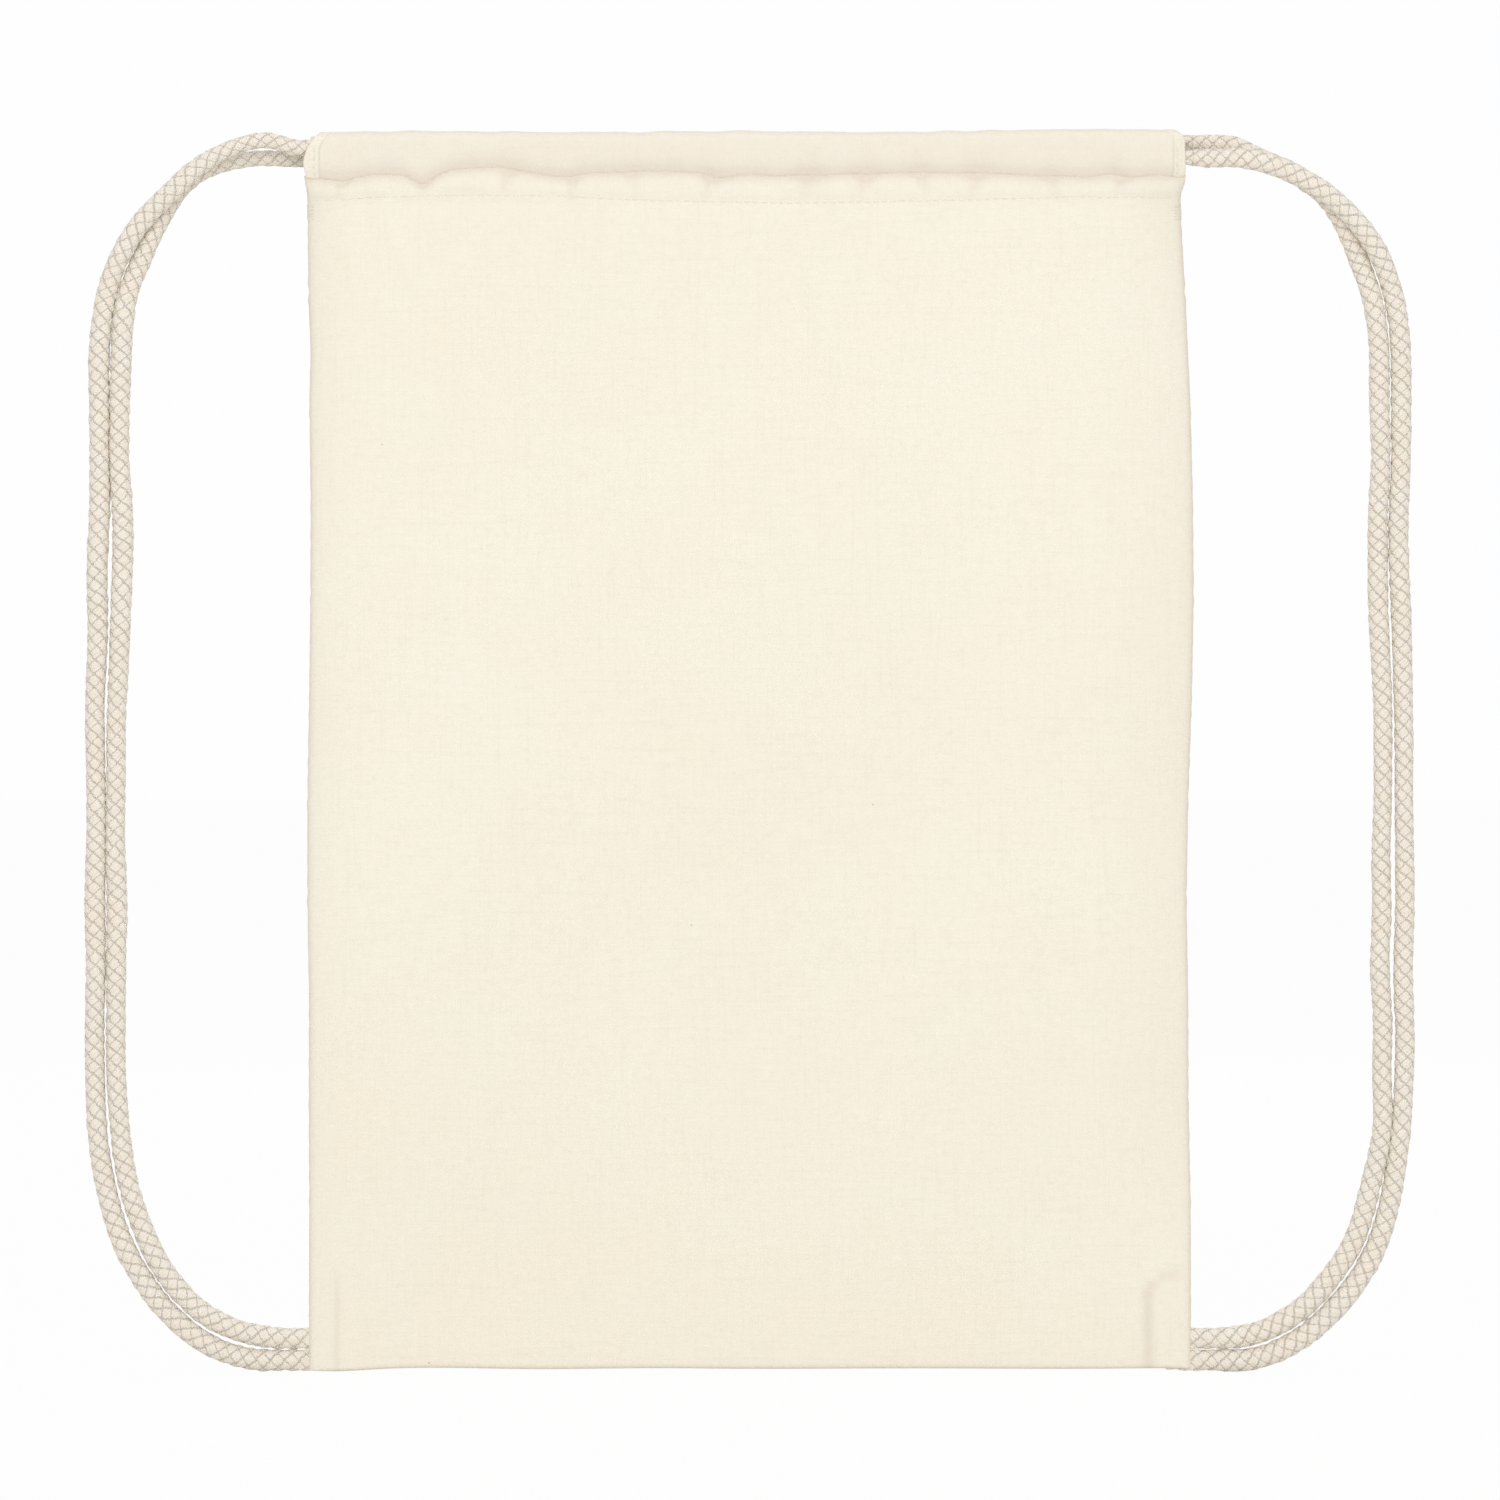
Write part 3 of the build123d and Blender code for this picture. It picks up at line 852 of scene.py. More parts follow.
def sleeve(face):
    stations, count = 206, 60
    x = np.linspace(-SLEEVE_END[LEFT], SLEEVE_END[RIGHT], stations)
    points, normals = sleeve_curve(x, face, PROFILE_POINTS, count)
    half = CLOTH / 2
    ring = np.concatenate([points + normals * half, (points - normals * half)[:, ::-1]], 1)
    around = 2 * count
    z = ring[..., 1]
    x = np.repeat(x[:, None], around, 1)
    for side, full in SLEEVE_END.items():
        end = np.minimum(full, side * mouth_edge(z, side, face) - 2.6)
        share = (side * x - END_START) * (end - END_START) / (full - END_START)
        x = np.where(side * x > END_START, side * (END_START + share), x)
    vertices = np.stack([x, OUTWARD[face] * ring[..., 0], z], -1).reshape(-1, 3)
    flip = face == FRONT
    i = np.arange(count - 1)
    cap = np.stack([i, i + 1, around - 2 - i, around - 1 - i], -1)
    faces = [
        grid_faces(stations, around, wrap=True, flip=flip),
        wind(cap, not flip),
        wind(cap + (stations - 1) * around, flip),
    ]
    x, y, z = vertices.T
    # painted shade: the whole sleeve a little darker, and darker still on its outside towards the
    # crease
    low = 1 - smooth(z - crease_z(x, face), 0.0, 7.5)
    name = FACE_NAME[face]
    cinch(piece(name + "_sleeve", vertices, faces, "canvas", name + "_casing",
                mark=0.42 + 0.58 * low * (np.abs(y) > 4.5)))


def turned_end(face, side):
    """The sleeve's raw end turned in on itself: a doubled band with a rounded lip."""
    count = 54
    points, normals = hem_curve(HEM_X[side], face, count)
    lip = mouth_edge(points[:, 1], side, face)
    start = side * np.minimum(HEM_INSIDE[side], side * lip - 4.2)
    width = (lip - start)[:, None]
    # across the band: outside from the inner edge to the lip, round it, back along the inside
    flat = np.linspace(0, 1, 6)
    angle = np.linspace(0.25, 0.75, 4) * math.pi
    share = np.r_[flat, np.ones(4), flat[::-1][1:]]
    bulge = np.r_[np.zeros(6), np.sin(angle), np.zeros(5)]
    offset = np.r_[
        0.42 + 0.10 * np.sin(flat * math.pi),
        0.42 * np.cos(angle) - 0.12 * (1 - np.cos(angle)),
        np.full(5, -0.66)]
    x = start[:, None] + width * share * 0.9 + side * np.abs(width * 0.1) * bulge
    band = points[:, None] + normals[:, None] * offset[None, :, None]
    vertices = np.stack([x, OUTWARD[face] * band[..., 0], band[..., 1]], -1).reshape(-1, 3)
    around = len(share)
    turned = (face == FRONT) != (side == RIGHT)
    faces = [
        grid_faces(count, around, wrap=True, flip=turned),
        wind(fan_faces(0, around), not turned),
        wind(fan_faces((count - 1) * around, around), turned),
    ]
    name = f"{FACE_NAME[face]}_{SIDE_NAME[side]}"
    # the turned-in end carries an even painted shade
    ride_mouth(piece(name + "_turned_end", vertices, faces, "canvas", name + "_end_hem",
                     mark=np.full(len(vertices), HEM_PAINTED_SHADE[side])), side)


# ---------------------------------------------------------------- threads


def tube(path, radius, around):
    """A thin closed thread along a path, narrower at its ends."""
    path = np.array(path, float)
    radii = np.full(len(path), radius)
    radii[0] = radii[-1] = radius * 0.45
    vertices = rings(path, radii[:, None], around, up=(0.13, 0.2, 0.97)).reshape(-1, 3)
    start = fan_faces(0, around)[:, [0, 2, 1]]
    end = fan_faces((len(path) - 1) * around, around)
    quads = grid_faces(len(path), around, wrap=True)
    return vertices, quads, np.concatenate([start, end])


def threads(name, lines, radius, replaced, around=6):
    vertices, faces = join([tube(line, radius, around) for line in lines])
    # all quads before all triangles
    return piece(name, vertices, faces[0::2] + faces[1::2], "thread", replaced)


def stitch_row(start, end, depth_at, raised, face, seed):
    """A row of short stitches, raised outwards (1) or inwards (-1), dipping in at each end."""
    pitch = 3.1
    half = pitch * 0.41
    random = np.random.default_rng(seed)
    lines = []
    for centre in np.arange(start + pitch / 2, end, pitch):
        centre = centre + random.uniform(-0.12, 0.12)
        x = centre + np.array([-half, -half * 0.75, 0, half * 0.75, half])
        rise = np.array([-0.42, -0.05, 0.05, -0.05, -0.42])
        z = stitch_z(x, face) + random.uniform(-0.1, 0.1) + np.linspace(-0.06, 0.06, 5)
        y = OUTWARD[face] * (depth_at(x, z) + raised * rise)
        lines.append(np.stack([x, y, z], -1))
    return lines


def sleeve_stitching(face):
    def outside(x, z):
        return thickness(x, z, face) + 0.02

    def inside(x, z):
        return np.minimum(6.1, room_inside(x, z, face)) - CLOTH / 2 - 0.05

    lines = stitch_row(-157.5, 153.5, outside, 1, face, seed=5 + face)
    lines += stitch_row(-150, 148, inside, -1, face, seed=7 + face)
    name = FACE_NAME[face]
    cinch(threads(name + "_sleeve_stitches", lines, 0.24, name + "_casing_stitching"))


def hem_stitching(side):
    """Down the turned-in end of each sleeve, front and back."""
    x = HEM_STITCH_X[side]
    lines = []
    for face in (FRONT, BACK):
        points, normals = hem_curve(x, face, 200)
        along = distances(points)
        for centre in np.arange(3.0, 11.5, 2.7):
            place = centre + np.array([-1.1, -0.8, 0, 0.8, 1.1])
            point, normal = (
                np.stack([np.interp(place, along, values[:, k]) for k in (0, 1)], -1)
                for values in (points, normals))
            rise = 0.50 + np.array([-0.4, 0.05, 0.16, 0.05, -0.4])
            point = point + normal * rise[:, None]
            lines.append(np.stack([np.full(5, x), OUTWARD[face] * point[:, 0], point[:, 1]], -1))
    name = SIDE_NAME[side]
    ride_mouth(threads(name + "_turned_end_stitches", lines, 0.2,
                       name + "_end_hem_stitching"), side)


def seam_stitching(side):
    """A row on each surface of the seam allowance, just inside the side seam."""
    lines = []
    for outward in OUTWARD:
        random = np.random.default_rng(17)
        for centre in np.arange(21, 418, 3.0):
            z = centre + np.array([-1.2, -0.9, 0, 0.9, 1.2])
            x = edge_x(z, side) - side * 3.4 + random.uniform(-0.08, 0.08)
            y = outward * (0.66 + np.array([-0.3, 0.05, 0.13, 0.05, -0.3]))
            lines.append(np.stack([x, y, z], -1))
    name = SIDE_NAME[side]
    cinch(threads(name + "_seam_stitches", lines, 0.18, name + "_side_seam_thread", around=5))


def overlock(side):
    """One looping thread wrapped over the raw edge of the seam allowance."""
    pitch = 2.5
    z = np.linspace(20, 418, 1600)
    angle = (z - 20) / pitch * 2 * np.pi
    raw = edge_x(z, side) - side * ALLOWANCE[side]
    x = raw + side * (1.15 + 1.35 * np.cos(angle))
    line = np.stack([x, 0.92 * np.sin(angle), z + 0.5 * np.sin(2 * angle)], -1)
    name = SIDE_NAME[side]
    cinch(threads(name + "_overlock_stitches", [line], 0.17, name + "_overlock_thread",
                  around=5))


def mouth_tack(side):
    """Close wraps over the top end of the side seam."""
    lines = []
    wrap = np.linspace(-1, 1, 9)
    for k, z in enumerate(np.arange(416.6, 421.6, 0.55)):
        x = edge_x(z, side) + side * (0.50 - 2.4 * np.abs(wrap) ** 1.6)
        out = thickness(x, np.full(9, z), FRONT) + 0.06
        y = np.sign(wrap) * np.minimum(np.abs(wrap) * 2.4, 1) * out
        lines.append(np.stack([x, y, z + 0.25 * wrap * (-1) ** k], -1))
    name = SIDE_NAME[side]
    cinch(threads(name + "_mouth_tack_stitches", lines, 0.15, name + "_mouth_bartack"))


def corner_tack(side):
    """Close zigzag over the caught cord ends, front and back."""
    z = np.arange(2.2, 15.2, 0.42)
    x = side * (155.6 + 1.0 * (-1.0) ** np.arange(len(z)))
    lines = [np.stack([x, np.full(len(z), y), z], -1) for y in (-0.95, 0.95)]
    name = SIDE_NAME[side]
    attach(threads(name + "_corner_tack_stitches", lines, 0.16, name + "_corner_bartack"),
            "bag")


# ---------------------------------------------------------------- braided cords

BUNDLES = 4             # strands of yarn going each way round
BRAID_PITCH = 5.0       # height of one diamond
DRAWN_RADIUS = 3.5      # cord radius that the STRANDS tables were drawn for
RUN_RADIUS = 2.7        # inside the sleeves
MOUTH_RADIUS = 3.02
MOUTH_X = 160.0         # where the run in the sleeve becomes the free strand
RUN_START = 132.0       # distance of the run's other end, where the turn begins
RUN_Y = 5.2
MIDDLE_Z = 225          # parts the upper bends from the lower ones
RING_STEP = 0.46
OUTER, INNER = "outer", "inner"

# middle lines (x, y, z) of the free strands, from beside the mouth to the bottom corner
STRANDS = {
    (LEFT, OUTER): [
        (-177, -5.2, 443.9), (-181.6, -5.1, 442.9), (-186.4, -4.8, 441.4), (-191.3, -4.4, 439.4),
        (-196.6, -3.9, 436.7), (-202.3, -3.7, 433.1), (-208.4, -3.6, 428.4), (-214.6, -3.2, 422.3),
        (-220.9, -2.5, 414.7), (-226.6, -1.5, 405.2), (-231.2, -0.3, 393.8), (-234.2, 0, 380.5),
        (-235.8, 0, 365.7), (-236.2, 0, 349.6), (-236.3, 0, 332.3), (-236.4, 0, 314.1),
        (-236.6, 0, 295), (-236.8, 0, 275.2), (-237, 0, 255), (-237, 0, 234.4), (-237, 0, 213.7),
        (-237, 0, 193.1), (-237.1, 0, 172.9), (-237.3, 0, 153.1), (-237.7, 0, 134),
        (-237.9, 0, 115.8), (-237.4, 0, 98.6), (-235.8, 0, 82.5), (-233.1, 0, 67.8),
        (-229.4, 0, 54.7), (-224.8, 0, 43.2), (-219.6, 0, 33.4), (-214.1, 0, 25.2),
        (-208.3, 0, 18.7), (-202.6, 0, 13.6), (-197, 0, 9.9), (-191.6, 0, 7.2), (-186.5, 0, 5.5),
        (-181.7, 0, 4.3), (-177, 0, 3.7)],
    (LEFT, INNER): [
        (-177, 5.2, 439.1), (-181.7, 5.1, 438.9), (-186.4, 4.8, 438.2), (-191.5, 4.4, 437.1),
        (-196.9, 3.9, 435.3), (-202.5, 3.7, 432), (-207.5, 3.6, 426.6), (-212, 3.2, 419.5),
        (-216.6, 2.4, 411.1), (-221, 1.4, 401.4), (-224.7, 0.1, 390.1), (-227.1, 0, 377.1),
        (-228.2, 0, 362.8), (-228.4, 0, 347.2), (-228.3, 0, 330.6), (-228.3, 0, 313),
        (-228.4, 0, 294.5), (-228.6, 0, 275.4), (-228.8, 0, 255.9), (-228.9, 0, 236),
        (-229, 0, 216), (-229.1, 0, 196.1), (-229.1, 0, 176.5), (-229.3, 0, 157.5),
        (-229.5, 0, 139), (-229.6, 0, 121.4), (-229.2, 0, 104.8), (-228, 0, 89.2),
        (-225.9, 0, 75), (-223, 0, 62.1), (-219.2, 0, 50.8), (-214.9, 0, 40.9),
        (-210.1, 0, 32.7), (-204.9, 0, 26.1), (-199.5, 0, 21.1), (-194, 0, 17.6),
        (-188.7, 0, 15.3), (-186.3, 0, 14.4), (-181.4, 0, 13.1), (-177, 0, 12.3)],
    (RIGHT, OUTER): [
        (177, -5.2, 439), (181.7, -5.1, 438.4), (186.5, -4.8, 437.4), (191.6, -4.4, 435.8),
        (197, -3.9, 433.5), (202.8, -3.8, 430.2), (209, -3.7, 425.7), (215.3, -3.4, 419.8),
        (221.6, -2.8, 412.3), (227.3, -1.7, 402.9), (231.9, 0, 391.7), (235, 0, 378.5),
        (236.5, 0, 363.7), (236.6, 0, 347.7), (236, 0, 330.6), (235.4, 0, 312.5),
        (235.3, 0, 293.6), (235.8, 0, 273.9), (236.4, 0, 253.8), (236.9, 0, 233.4),
        (236.9, 0, 212.8), (236.6, 0, 192.4), (236.4, 0, 172.3), (236.3, 0, 152.6),
        (236.7, 0, 133.7), (237.1, 0, 115.6), (236.9, 0, 98.5), (235.6, 0, 82.5),
        (233.1, 0, 67.9), (229.3, 0, 54.9), (224.6, 0, 43.5), (219.3, 0, 33.8),
        (213.7, 0, 25.8), (207.9, 0, 19.4), (202.2, 0, 14.3), (196.7, 0, 10.6),
        (191.5, 0, 7.8), (186.5, 0, 5.8), (181.7, 0, 4.5), (177, 0, 3.8)],
    (RIGHT, INNER): [
        (177, 5.2, 441.8), (181.6, 5.1, 440.8), (186.1, 4.8, 439.6), (190.9, 4.4, 437.7),
        (196, 3.9, 435), (201.2, 3.8, 431.2), (206.5, 3.7, 426.2), (211.7, 3.5, 419.6),
        (216.6, 2.9, 411.5), (220.9, 1.9, 401.8), (224.4, 0.1, 390.6), (226.8, 0, 377.7),
        (228.1, 0, 363.4), (228.4, 0, 348), (228.1, 0, 331.4), (227.6, 0, 313.9),
        (227.6, 0, 295.6), (227.9, 0, 276.6), (228.4, 0, 257.2), (228.7, 0, 237.4),
        (228.8, 0, 217.6), (228.5, 0, 197.8), (228.3, 0, 178.3), (228.2, 0, 159.4),
        (228.4, 0, 141), (228.9, 0, 123.5), (229, 0, 107), (228.3, 0, 91.5),
        (226.5, 0, 77.3), (223.7, 0, 64.5), (220, 0, 53.2), (215.7, 0, 43.5),
        (210.9, 0, 35.3), (205.9, 0, 28.6), (200.8, 0, 23.3), (195.8, 0, 19.2),
        (190.9, 0, 16.3), (186.2, 0, 14.2), (181.6, 0, 12.9), (177, 0, 12.1)],
}
RUN_Z = {(LEFT, OUTER): 444.3, (LEFT, INNER): 438.8, (RIGHT, OUTER): 438.8, (RIGHT, INNER): 444.3}
# through the mouth: (distance from the middle, height)
MOUTH = {
    (LEFT, OUTER): [(150, 444.8), (155, 443.5), (160.5, 441.9), (165, 442.1), (170.5, 443.9)],
    (LEFT, INNER): [(150, 438.9), (160.5, 438.7), (168, 438.8)],
    (RIGHT, OUTER): [(150, 438.9), (160.5, 438.4), (168, 438.2)],
    (RIGHT, INNER): [(150, 444.9), (155, 444.8), (160.5, 444.5), (168, 444.3)],
}
# rise just outside the mouth: distances from the middle, then rises
NUDGE = {
    (LEFT, OUTER): ([172, 177, 183, 191, 200, 206], [0.5, 0.75, 0.9, 0.8, 0.3, 0]),
    (LEFT, INNER): ([172, 177, 183, 191, 200, 206], [0.0, 0.0, -0.2, -0.35, -0.2, 0]),
    (RIGHT, OUTER): ([168, 172, 180, 187, 196, 204, 212],
                     [-0.5, -0.6, -0.8, -0.9, -1.1, -0.8, 0]),
    (RIGHT, INNER): ([172, 177, 182, 187, 191, 196, 204],
                     [1.7, 1.2, -0.3, -1.3, -1.2, -0.8, 0]),
}
# shift of a free strand away from its partner: heights, then shifts
APART = {
    (LEFT, OUTER): (
        [0, 18, 25, 43, 61, 98, 116, 134, 170, 206, 279, 315, 351, 369, 387, 405, 416, 424,
         431, 437],
        [0.6, 0.6, 0.95, 1.5, 1.0, -0.3, -0.6, -0.6, 0.3, 0, 0, -0.5, -0.3, 0.4, 0.9, 0.3, 0,
         -0.6, -0.9, 0]),
    (LEFT, INNER): (
        [8, 12, 18, 25, 43, 61, 98, 116, 134, 170, 206, 224, 242, 260, 279, 315, 333, 351,
         369, 387, 405, 416, 431],
        [0.3, 0.6, 1.1, 1.0, 0, 0, -0.5, 0.3, 0.6, 0, -0.3, -0.5, -0.3, 0.8, 1.7, 1.5, 0.2,
         0.6, 1.0, 0, 0.6, 0, 0]),
    (RIGHT, OUTER): (
        [3.6, 7, 14.5, 18, 25, 43, 52, 61, 80, 98, 116, 134, 170, 206, 242, 279, 315, 333,
         351, 369, 387, 405, 416, 423, 431, 437],
        [1.1, 1.2, 1.6, 1.7, 1.6, 2.0, 1.4, 0.7, 0, -0.8, 0, 0.4, 0.9, 0, -0.3, 0.3, -0.3,
         -0.3, -0.6, 0, 0.3, 0.8, 0.4, 0, -0.4, 0]),
    (RIGHT, INNER): (
        [8, 12, 18, 25, 43, 61, 98, 116, 134, 170, 206, 242, 279, 315, 333, 351, 369, 387,
         405, 416, 423, 431, 437],
        [0.3, 0.6, 1.1, 0.6, -0.5, -0.6, -0.2, 0, 0.6, -0.2, -0.3, -0.3, 1.0, 0.3, 0, 0.9,
         0.6, 0, 0.6, -0.2, -1.2, -0.9, 0]),
}
# radius of the free cord: heights, then radii
FREE_RADIUS = {
    LEFT: ([0, 43, 61, 98, 134, 170, 206, 242, 279, 315, 333, 369, 405],
           [4.02, 4.0, 3.85, 3.7, 3.68, 3.95, 3.65, 3.65, 3.95, 4.0, 3.75, 4.0, 3.75]),
    RIGHT: ([0, 25, 43, 61, 98, 134, 170, 206, 242, 279, 315, 333, 351, 369, 405],
            [4.15, 4.15, 4.0, 3.93, 3.65, 3.68, 3.68, 3.45, 3.6, 3.85, 3.75, 3.68, 3.9, 3.85,
             3.8]),
}
# outside the mouth: first change of radius and the distances it takes, then the distances
# over which the cord reaches its free radius
SWELL = {
    LEFT: (-0.06, (160, 172), (186, 206)),
    RIGHT: (0.42, (160, 166), (168, 184)),
}


def braid(angle, along, radius):
    """Over-one-under-one tube: radius, height 0 to 1, and place across and along the yarn."""
    turn = BUNDLES * angle / (2 * np.pi)
    first, second = turn - along / BRAID_PITCH, turn + along / BRAID_PITCH
    first_yarn, second_yarn = np.round(first), np.round(second)
    first_across, second_across = first - first_yarn, second - second_yarn
    swing, crown = 0.20, 0.36       # weaving up and down, and roundness of a bundle

    def rounded(across):
        return crown * np.clip(1 - (across / 0.57) ** 2, 0.0, 1) ** 0.8

    first_height = swing * np.cos(np.pi * (second + first_yarn)) + rounded(first_across)
    second_height = -swing * np.cos(np.pi * (first + second_yarn)) + rounded(second_across)
    over = first_height > second_height
    height = np.maximum(first_height, second_height)
    return (
        radius + (height - swing - crown) * (radius / DRAWN_RADIUS),
        np.clip((height - 0.10) / (swing + crown - 0.10), 0, 1),
        # shifted from bundle to bundle so that their fibres differ
        np.where(over, first_across + 7.3 * (first_yarn % 5),
                 second_across + 3.1 * (second_yarn % 7) + 50),
        np.where(over, second, first) * 2.0,
    )


def cord(path, along, radius, flat, around, seed):
    """Closed braided cord; radius and flat (share of depth in y) are given per ring."""
    angle = np.linspace(0, 2 * np.pi, around, endpoint=False)[None, :]
    twist = 0.21 * waves(along, seed, 30, 110, 6)
    uneven = along + 0.45 * waves(along, seed + 1, 25, 70, 5)
    surface, *yarn = braid(angle + twist[:, None], uneven[:, None], radius[:, None])
    surface = surface * (1 + 0.022 * waves(along, seed + 2, 7, 30, 6))[:, None]
    surface = surface + 0.05 * waves2(angle * 3.5, along[:, None], seed + 3, 1.6, 5, 8)
    tube_rings = rings(path, surface, around, up=(0, 0, 1))
    middle_y = path[:, None, 1]
    tube_rings[..., 1] = middle_y + (tube_rings[..., 1] - middle_y) * flat[:, None]
    vertices = np.concatenate([tube_rings.reshape(-1, 3), path[:1], path[-1:]])
    # fans from a middle point at each end
    last = (len(path) - 1) * around
    first_middle = len(path) * around
    k = np.arange(around)
    after = (k + 1) % around
    start = np.stack([np.full(around, first_middle), after, k], -1)
    end = np.stack([np.full(around, first_middle + 1), last + k, last + after], -1)
    attributes = [np.r_[v.ravel(), v[0].mean(), v[-1].mean()] for v in yarn]
    quads = grid_faces(len(path), around, wrap=True)
    return (vertices, quads, np.concatenate([start, end])), attributes


def cord_object(name, cords, *replaced):
    vertices, faces = join([part for part, _ in cords])
    height, across, along = (
        np.concatenate([attributes[k] for _, attributes in cords]) for k in range(3))
    return piece(name, vertices, faces, "cord", *replaced,
                 height=height, across=across, along=along)


def strand_points(side, which):
    """The free strand's middle line, placed so that its outer edge stays put at any radius."""
    drawn = np.array(STRANDS[side, which], float)
    partner = np.array(STRANDS[side, INNER if which == OUTER else OUTER], float)
    points = drawn.copy()
    for i, (x, _, z) in enumerate(drawn):
        gaps = partner - drawn[i]
        gaps[:, 1] = 0
        nearest = gaps[np.argmin((gaps ** 2).sum(1))]
        towards = nearest / np.linalg.norm(nearest)
        free = smooth(abs(x), *((195, 210) if z > MIDDLE_Z else (166, 184)))
        extra = np.interp(z, *FREE_RADIUS[side]) - DRAWN_RADIUS
        points[i] += towards * (extra - np.interp(z, *APART[side, which])) * free
    distance, z = np.abs(drawn[:, 0]), drawn[:, 2]
    high = z > MIDDLE_Z
    points[:, 2] += np.interp(distance, *NUDGE[side, which]) * high
    # the two strands cross one in front of the other
    depth = -0.34 if which == OUTER else 0.34
    points[:, 1] += depth * smooth(distance, 196, 205) * smooth(z, 385, 412) * high
    return points


def cord_line(side, k, which):
    """Middle line from the far mouth to the bottom corner, distances, and index of the mouth."""
    y, z = (-RUN_Y, RUN_Y)[k], RUN_Z[side, which]
    run = (-RUN_START, -110, -70, -30, 10, 50, 90, 120, 138)
    points = [(side * x, y, z) for x in run]
    points += [(side * x, y, mouth_z) for x, mouth_z in MOUTH[side, which]]
    points += list(strand_points(side, which))
    end_z = 3.6 if which == OUTER else 11.5
    points += [(side * x, 0, end_z) for x in (169.0, 162.0, 156.5, 150.5)]
    path, along = spline(points, RING_STEP)
    # let the free cords lie a little unevenly
    free = smooth(along, 330, 380) * (1 - smooth(along, along[-1] - 60, along[-1] - 20))
    path[:, 0] += 0.22 * waves(along, 101 + k + side, 30, 80) * free
    path[:, 2] += 0.12 * waves(along, 105 + k + side, 30, 80) * free
    mouth = int(np.argmax(path[:, 0] * side > MOUTH_X))
    return path, along - along[mouth], mouth


def strand_shape(side, path):
    """Radius and share of depth for each ring of a free strand."""
    distance = np.abs(path[:, 0])
    top = path[:, 2] > MIDDLE_Z
    full = np.interp(path[:, 2], *FREE_RADIUS[side])
    low = np.minimum(full, 3.93 + 0.4 * smooth(distance, 166, 182))
    low = low - 0.5 * (1 - smooth(distance, 151, 158))
    neck, neck_span, swell_span = SWELL[side]
    high = MOUTH_RADIUS + neck * smooth(distance, *neck_span)
    high = high + (full - (MOUTH_RADIUS + neck)) * smooth(distance, *swell_span)
    # flattened where the bottom corner grips it
    flat = np.where(top, 1.0, 0.22 + 0.78 * smooth(distance, 158.5, 166.5))
    return np.where(top, high, low), flat


def cord_turn(side):
    """The half turn at the far mouth, from the front sleeve to the back one."""
    front_z, back_z = RUN_Z[side, OUTER], RUN_Z[side, INNER]
    middle, half = (front_z + back_z) / 2, (back_z - front_z) / 2
    points = [(-side * x, -RUN_Y, middle - half) for x in (131.6, 134, 137)]
    for i in range(13):
        angle = -math.pi / 2 + math.pi * i / 12
        q = math.sin(angle)
        points.append((-side * (139.0 + RUN_Y * math.cos(angle)), RUN_Y * q,
                       middle + half * (1.5 * q - 0.5 * q ** 3)))
    points += [(-side * x, RUN_Y, middle + half) for x in (137, 134, 131.6)]
    path, along = spline(points, 0.4)
    count = len(path)
    turn = cord(path, along, np.full(count, RUN_RADIUS), np.ones(count), 28, seed=230)
    name = SIDE_NAME[side] + "_cord_turn"
    ride_mouth(cord_object(name + "_bend", [turn], name), -side)


def drawn_cord(side):
    """One cord: two free strands, two runs in the sleeves and the turn between them."""
    name = SIDE_NAME[side]
    runs = []
    for k, which in enumerate((OUTER, INNER)):
        path, along, mouth = cord_line(side, k, which)
        count = mouth + 1
        radius = np.interp(np.arange(count), [0, mouth - 30, mouth],
                           [RUN_RADIUS, RUN_RADIUS, MOUTH_RADIUS])
        runs.append(cord(path[:count], along[:count], radius, np.ones(count), 28, 200 + k))

        radius, flat = strand_shape(side, path[mouth:])
        strand = cord(path[mouth:], along[mouth:], radius, flat, 36, 200 + k)
        replaced = [f"{name}_cord_{which}_strand"]
        if which == OUTER:
            replaced += [f"{name}_cord_{part}"
                         for part in ("top_bends", "bottom_bends", "sewn_ends")]
        built = cord_object(f"{name}_cord_{which}", [strand], *replaced)
        blend_by(built,
                 lambda points: smooth(np.abs(points[:, 0]), 160.8, 181.0))

    def run_weight(points):
        """Weight: 0.5 near the cord's own mouth, moving towards the far mouth beyond that; it is
        not applied.
        """
        far = np.clip((-side * points[:, 0] + 55) / (138.0 + 55), 0, 1)
        return 0.5 + 0.5 * far * (-side)

    blend_between_mouths(
        cord_object(name + "_cord_in_sleeves", runs, name + "_cord_runs"), run_weight)
    cord_turn(side)


# ---------------------------------------------------------------- stage, in metres


def floor():
    """Pale floor that the camera sees as nearly plain white."""
    shader = Shader("studio_floor")
    shader.surface({
        "Base Color": (0.72, 0.71, 0.69, 1),
        "Roughness": 0.9,
        "Emission Color": (1, 1, 1, 1),
        "Emission Strength": 0.12,
    })
    glow = shader.node("ShaderNodeEmission", {"Color": (1, 1, 1, 1), "Strength": 0.994})
    seen = shader.node("ShaderNodeLightPath").outputs["Is Camera Ray"]
    both = shader.node("ShaderNodeMixShader", {
        0: shader.times(seen, 0.96), 1: shader.principled.outputs[0], 2: glow.outputs[0]})
    fill(shader.tree, shader.output, {0: both.outputs[0]})
    bpy.ops.mesh.primitive_plane_add(size=60, location=(0, 0, -0.0012))
    plane = bpy.context.object
    plane.name = "floor"
    plane.data.materials.append(shader.material)


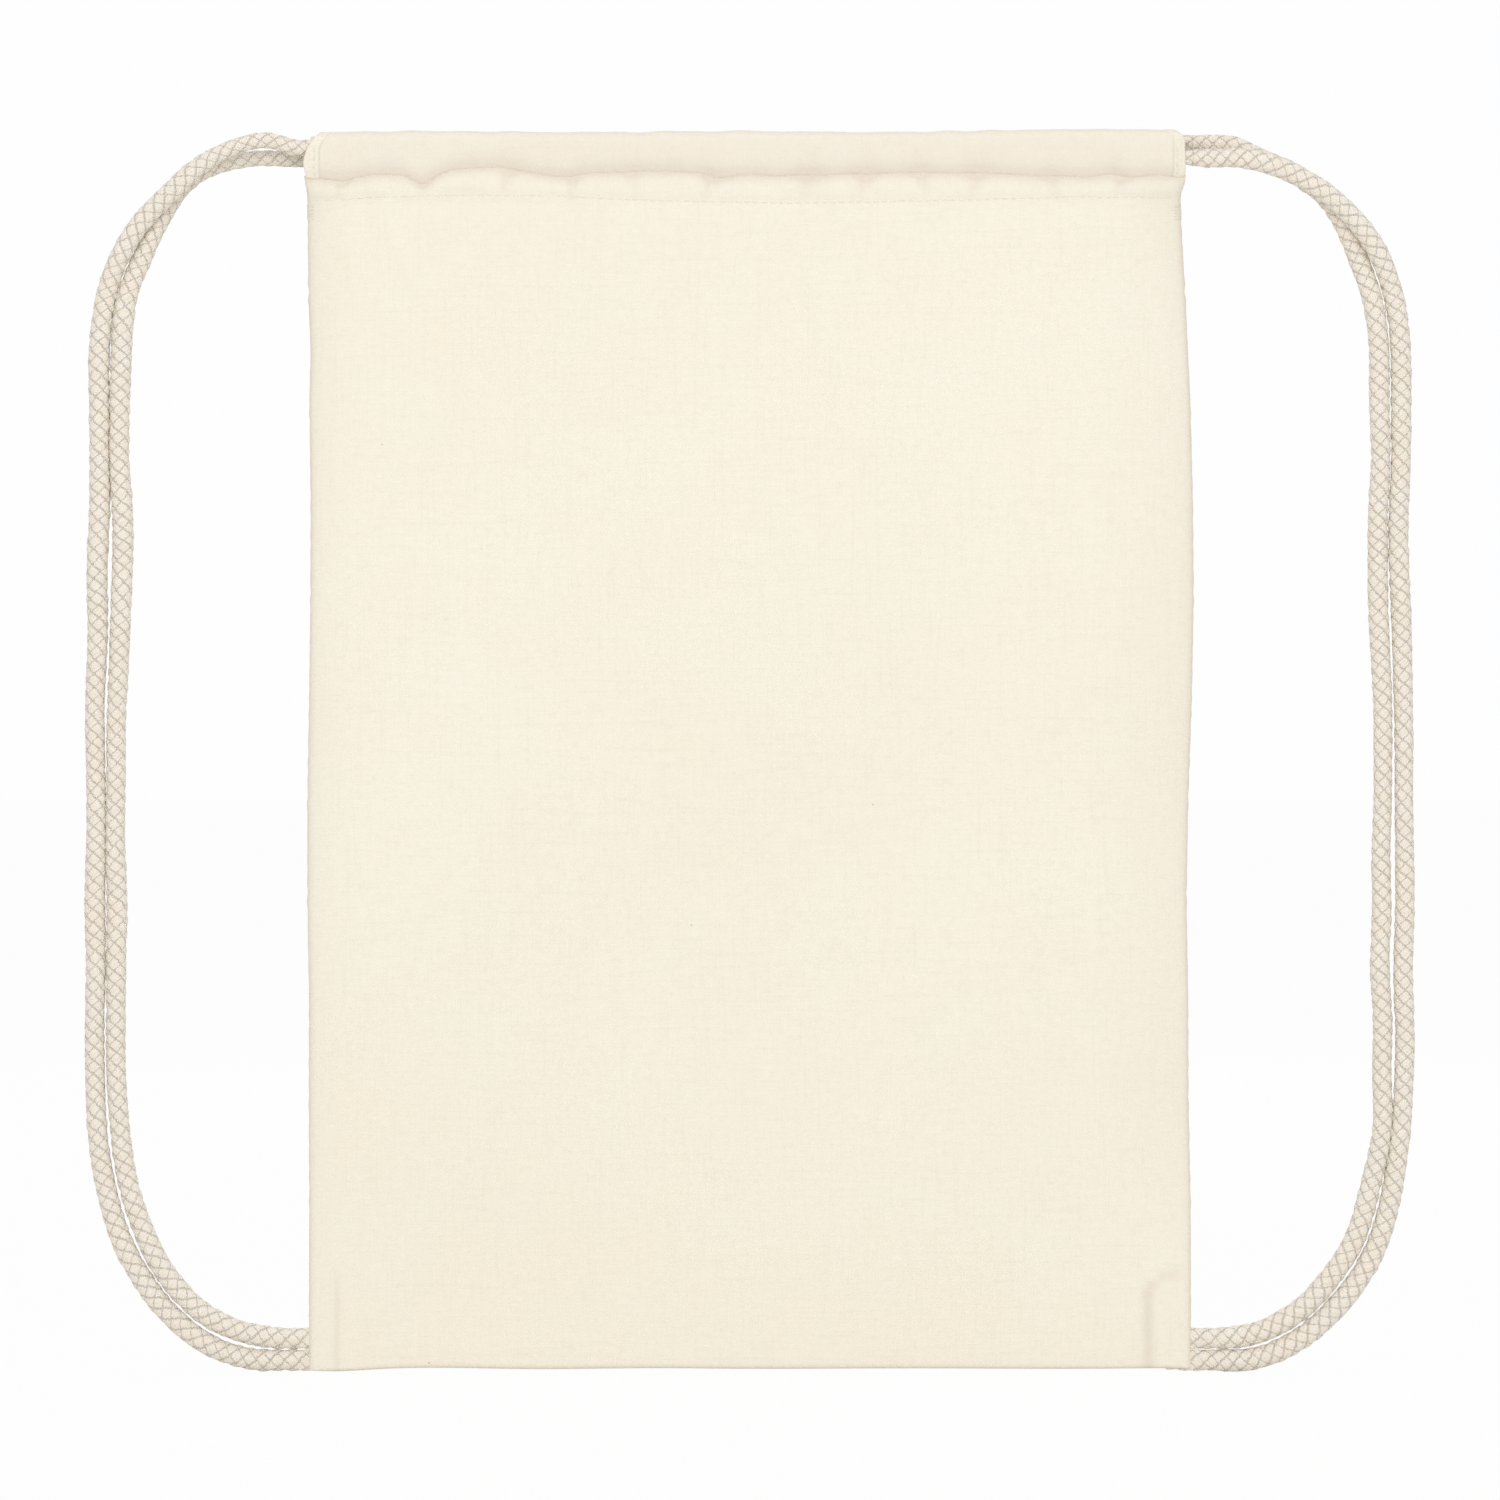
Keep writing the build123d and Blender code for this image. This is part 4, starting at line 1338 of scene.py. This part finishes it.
def softbox(name, place, target, width, height, power):
    light = bpy.data.lights.new(name, "AREA")
    light.shape = "RECTANGLE"
    light.size = width
    light.size_y = height
    light.energy = power
    lamp = bpy.data.objects.new(name, light)
    bpy.context.scene.collection.objects.link(lamp)
    lamp.location = place
    aim = Vector(np.array(target) - np.array(place))
    lamp.rotation_euler = aim.to_track_quat("-Z", "Y").to_euler()
    lamp.visible_camera = False


def studio_world():
    """White light all round, behind a background the camera sees as nearly white."""
    world = bpy.data.worlds.new("studio")
    bpy.context.scene.world = world
    world.use_nodes = True
    tree = world.node_tree
    tree.nodes.clear()
    light = add_node(tree, "ShaderNodeBackground", {0: (1.0, 1.0, 1.0, 1), 1: 0.72})
    seen = add_node(tree, "ShaderNodeBackground", {0: (0.991, 0.991, 0.991, 1), 1: 1.0})
    path = add_node(tree, "ShaderNodeLightPath")
    both = add_node(tree, "ShaderNodeMixShader", {
        0: path.outputs["Is Camera Ray"], 1: light.outputs[0], 2: seen.outputs[0]})
    add_node(tree, "ShaderNodeOutputWorld", {0: both.outputs[0]})


def camera():
    distance, view_width = 2.6, 0.543
    scene = bpy.context.scene
    lens = bpy.data.cameras.new("camera")
    lens.sensor_width = 36
    lens.lens = 36 * distance / view_width
    lens.clip_end = 200
    built = bpy.data.objects.new("camera", lens)
    scene.collection.objects.link(built)
    built.location = (0, -distance, 0.22444)
    built.rotation_euler = (math.pi / 2, 0, 0)
    scene.camera = built


# ---------------------------------------------------------------- build

bag_cloth()
for face in (FRONT, BACK):
    sleeve(face)
    for side in (LEFT, RIGHT):
        turned_end(face, side)
    sleeve_stitching(face)
for side in (LEFT, RIGHT):
    hem_stitching(side)
    seam_stitching(side)
    overlock(side)
    mouth_tack(side)
    corner_tack(side)
    drawn_cord(side)

floor()
# name, place, target, width, height, power
for softbox_row in (
    ("key_softbox", (-0.4, -2.5, 1.15), (0, 0, 0.25), 1.8, 1.2, 20.5),
    ("top_softbox", (0, -0.25, 2.4), (0, 0, 0.3), 1.6, 1.0, 4.0),
    ("fill_softbox", (1.5, -2.2, 0.6), (0, 0, 0.22), 1.4, 1.4, 6.5),
    ("back_softbox", (0.6, 2.4, 1.3), (0, 0, 0.25), 1.8, 1.2, 9.0),
):
    softbox(*softbox_row)
studio_world()
bpy.context.scene.view_settings.view_transform = "Standard"
bpy.context.scene.view_settings.look = "None"
camera()
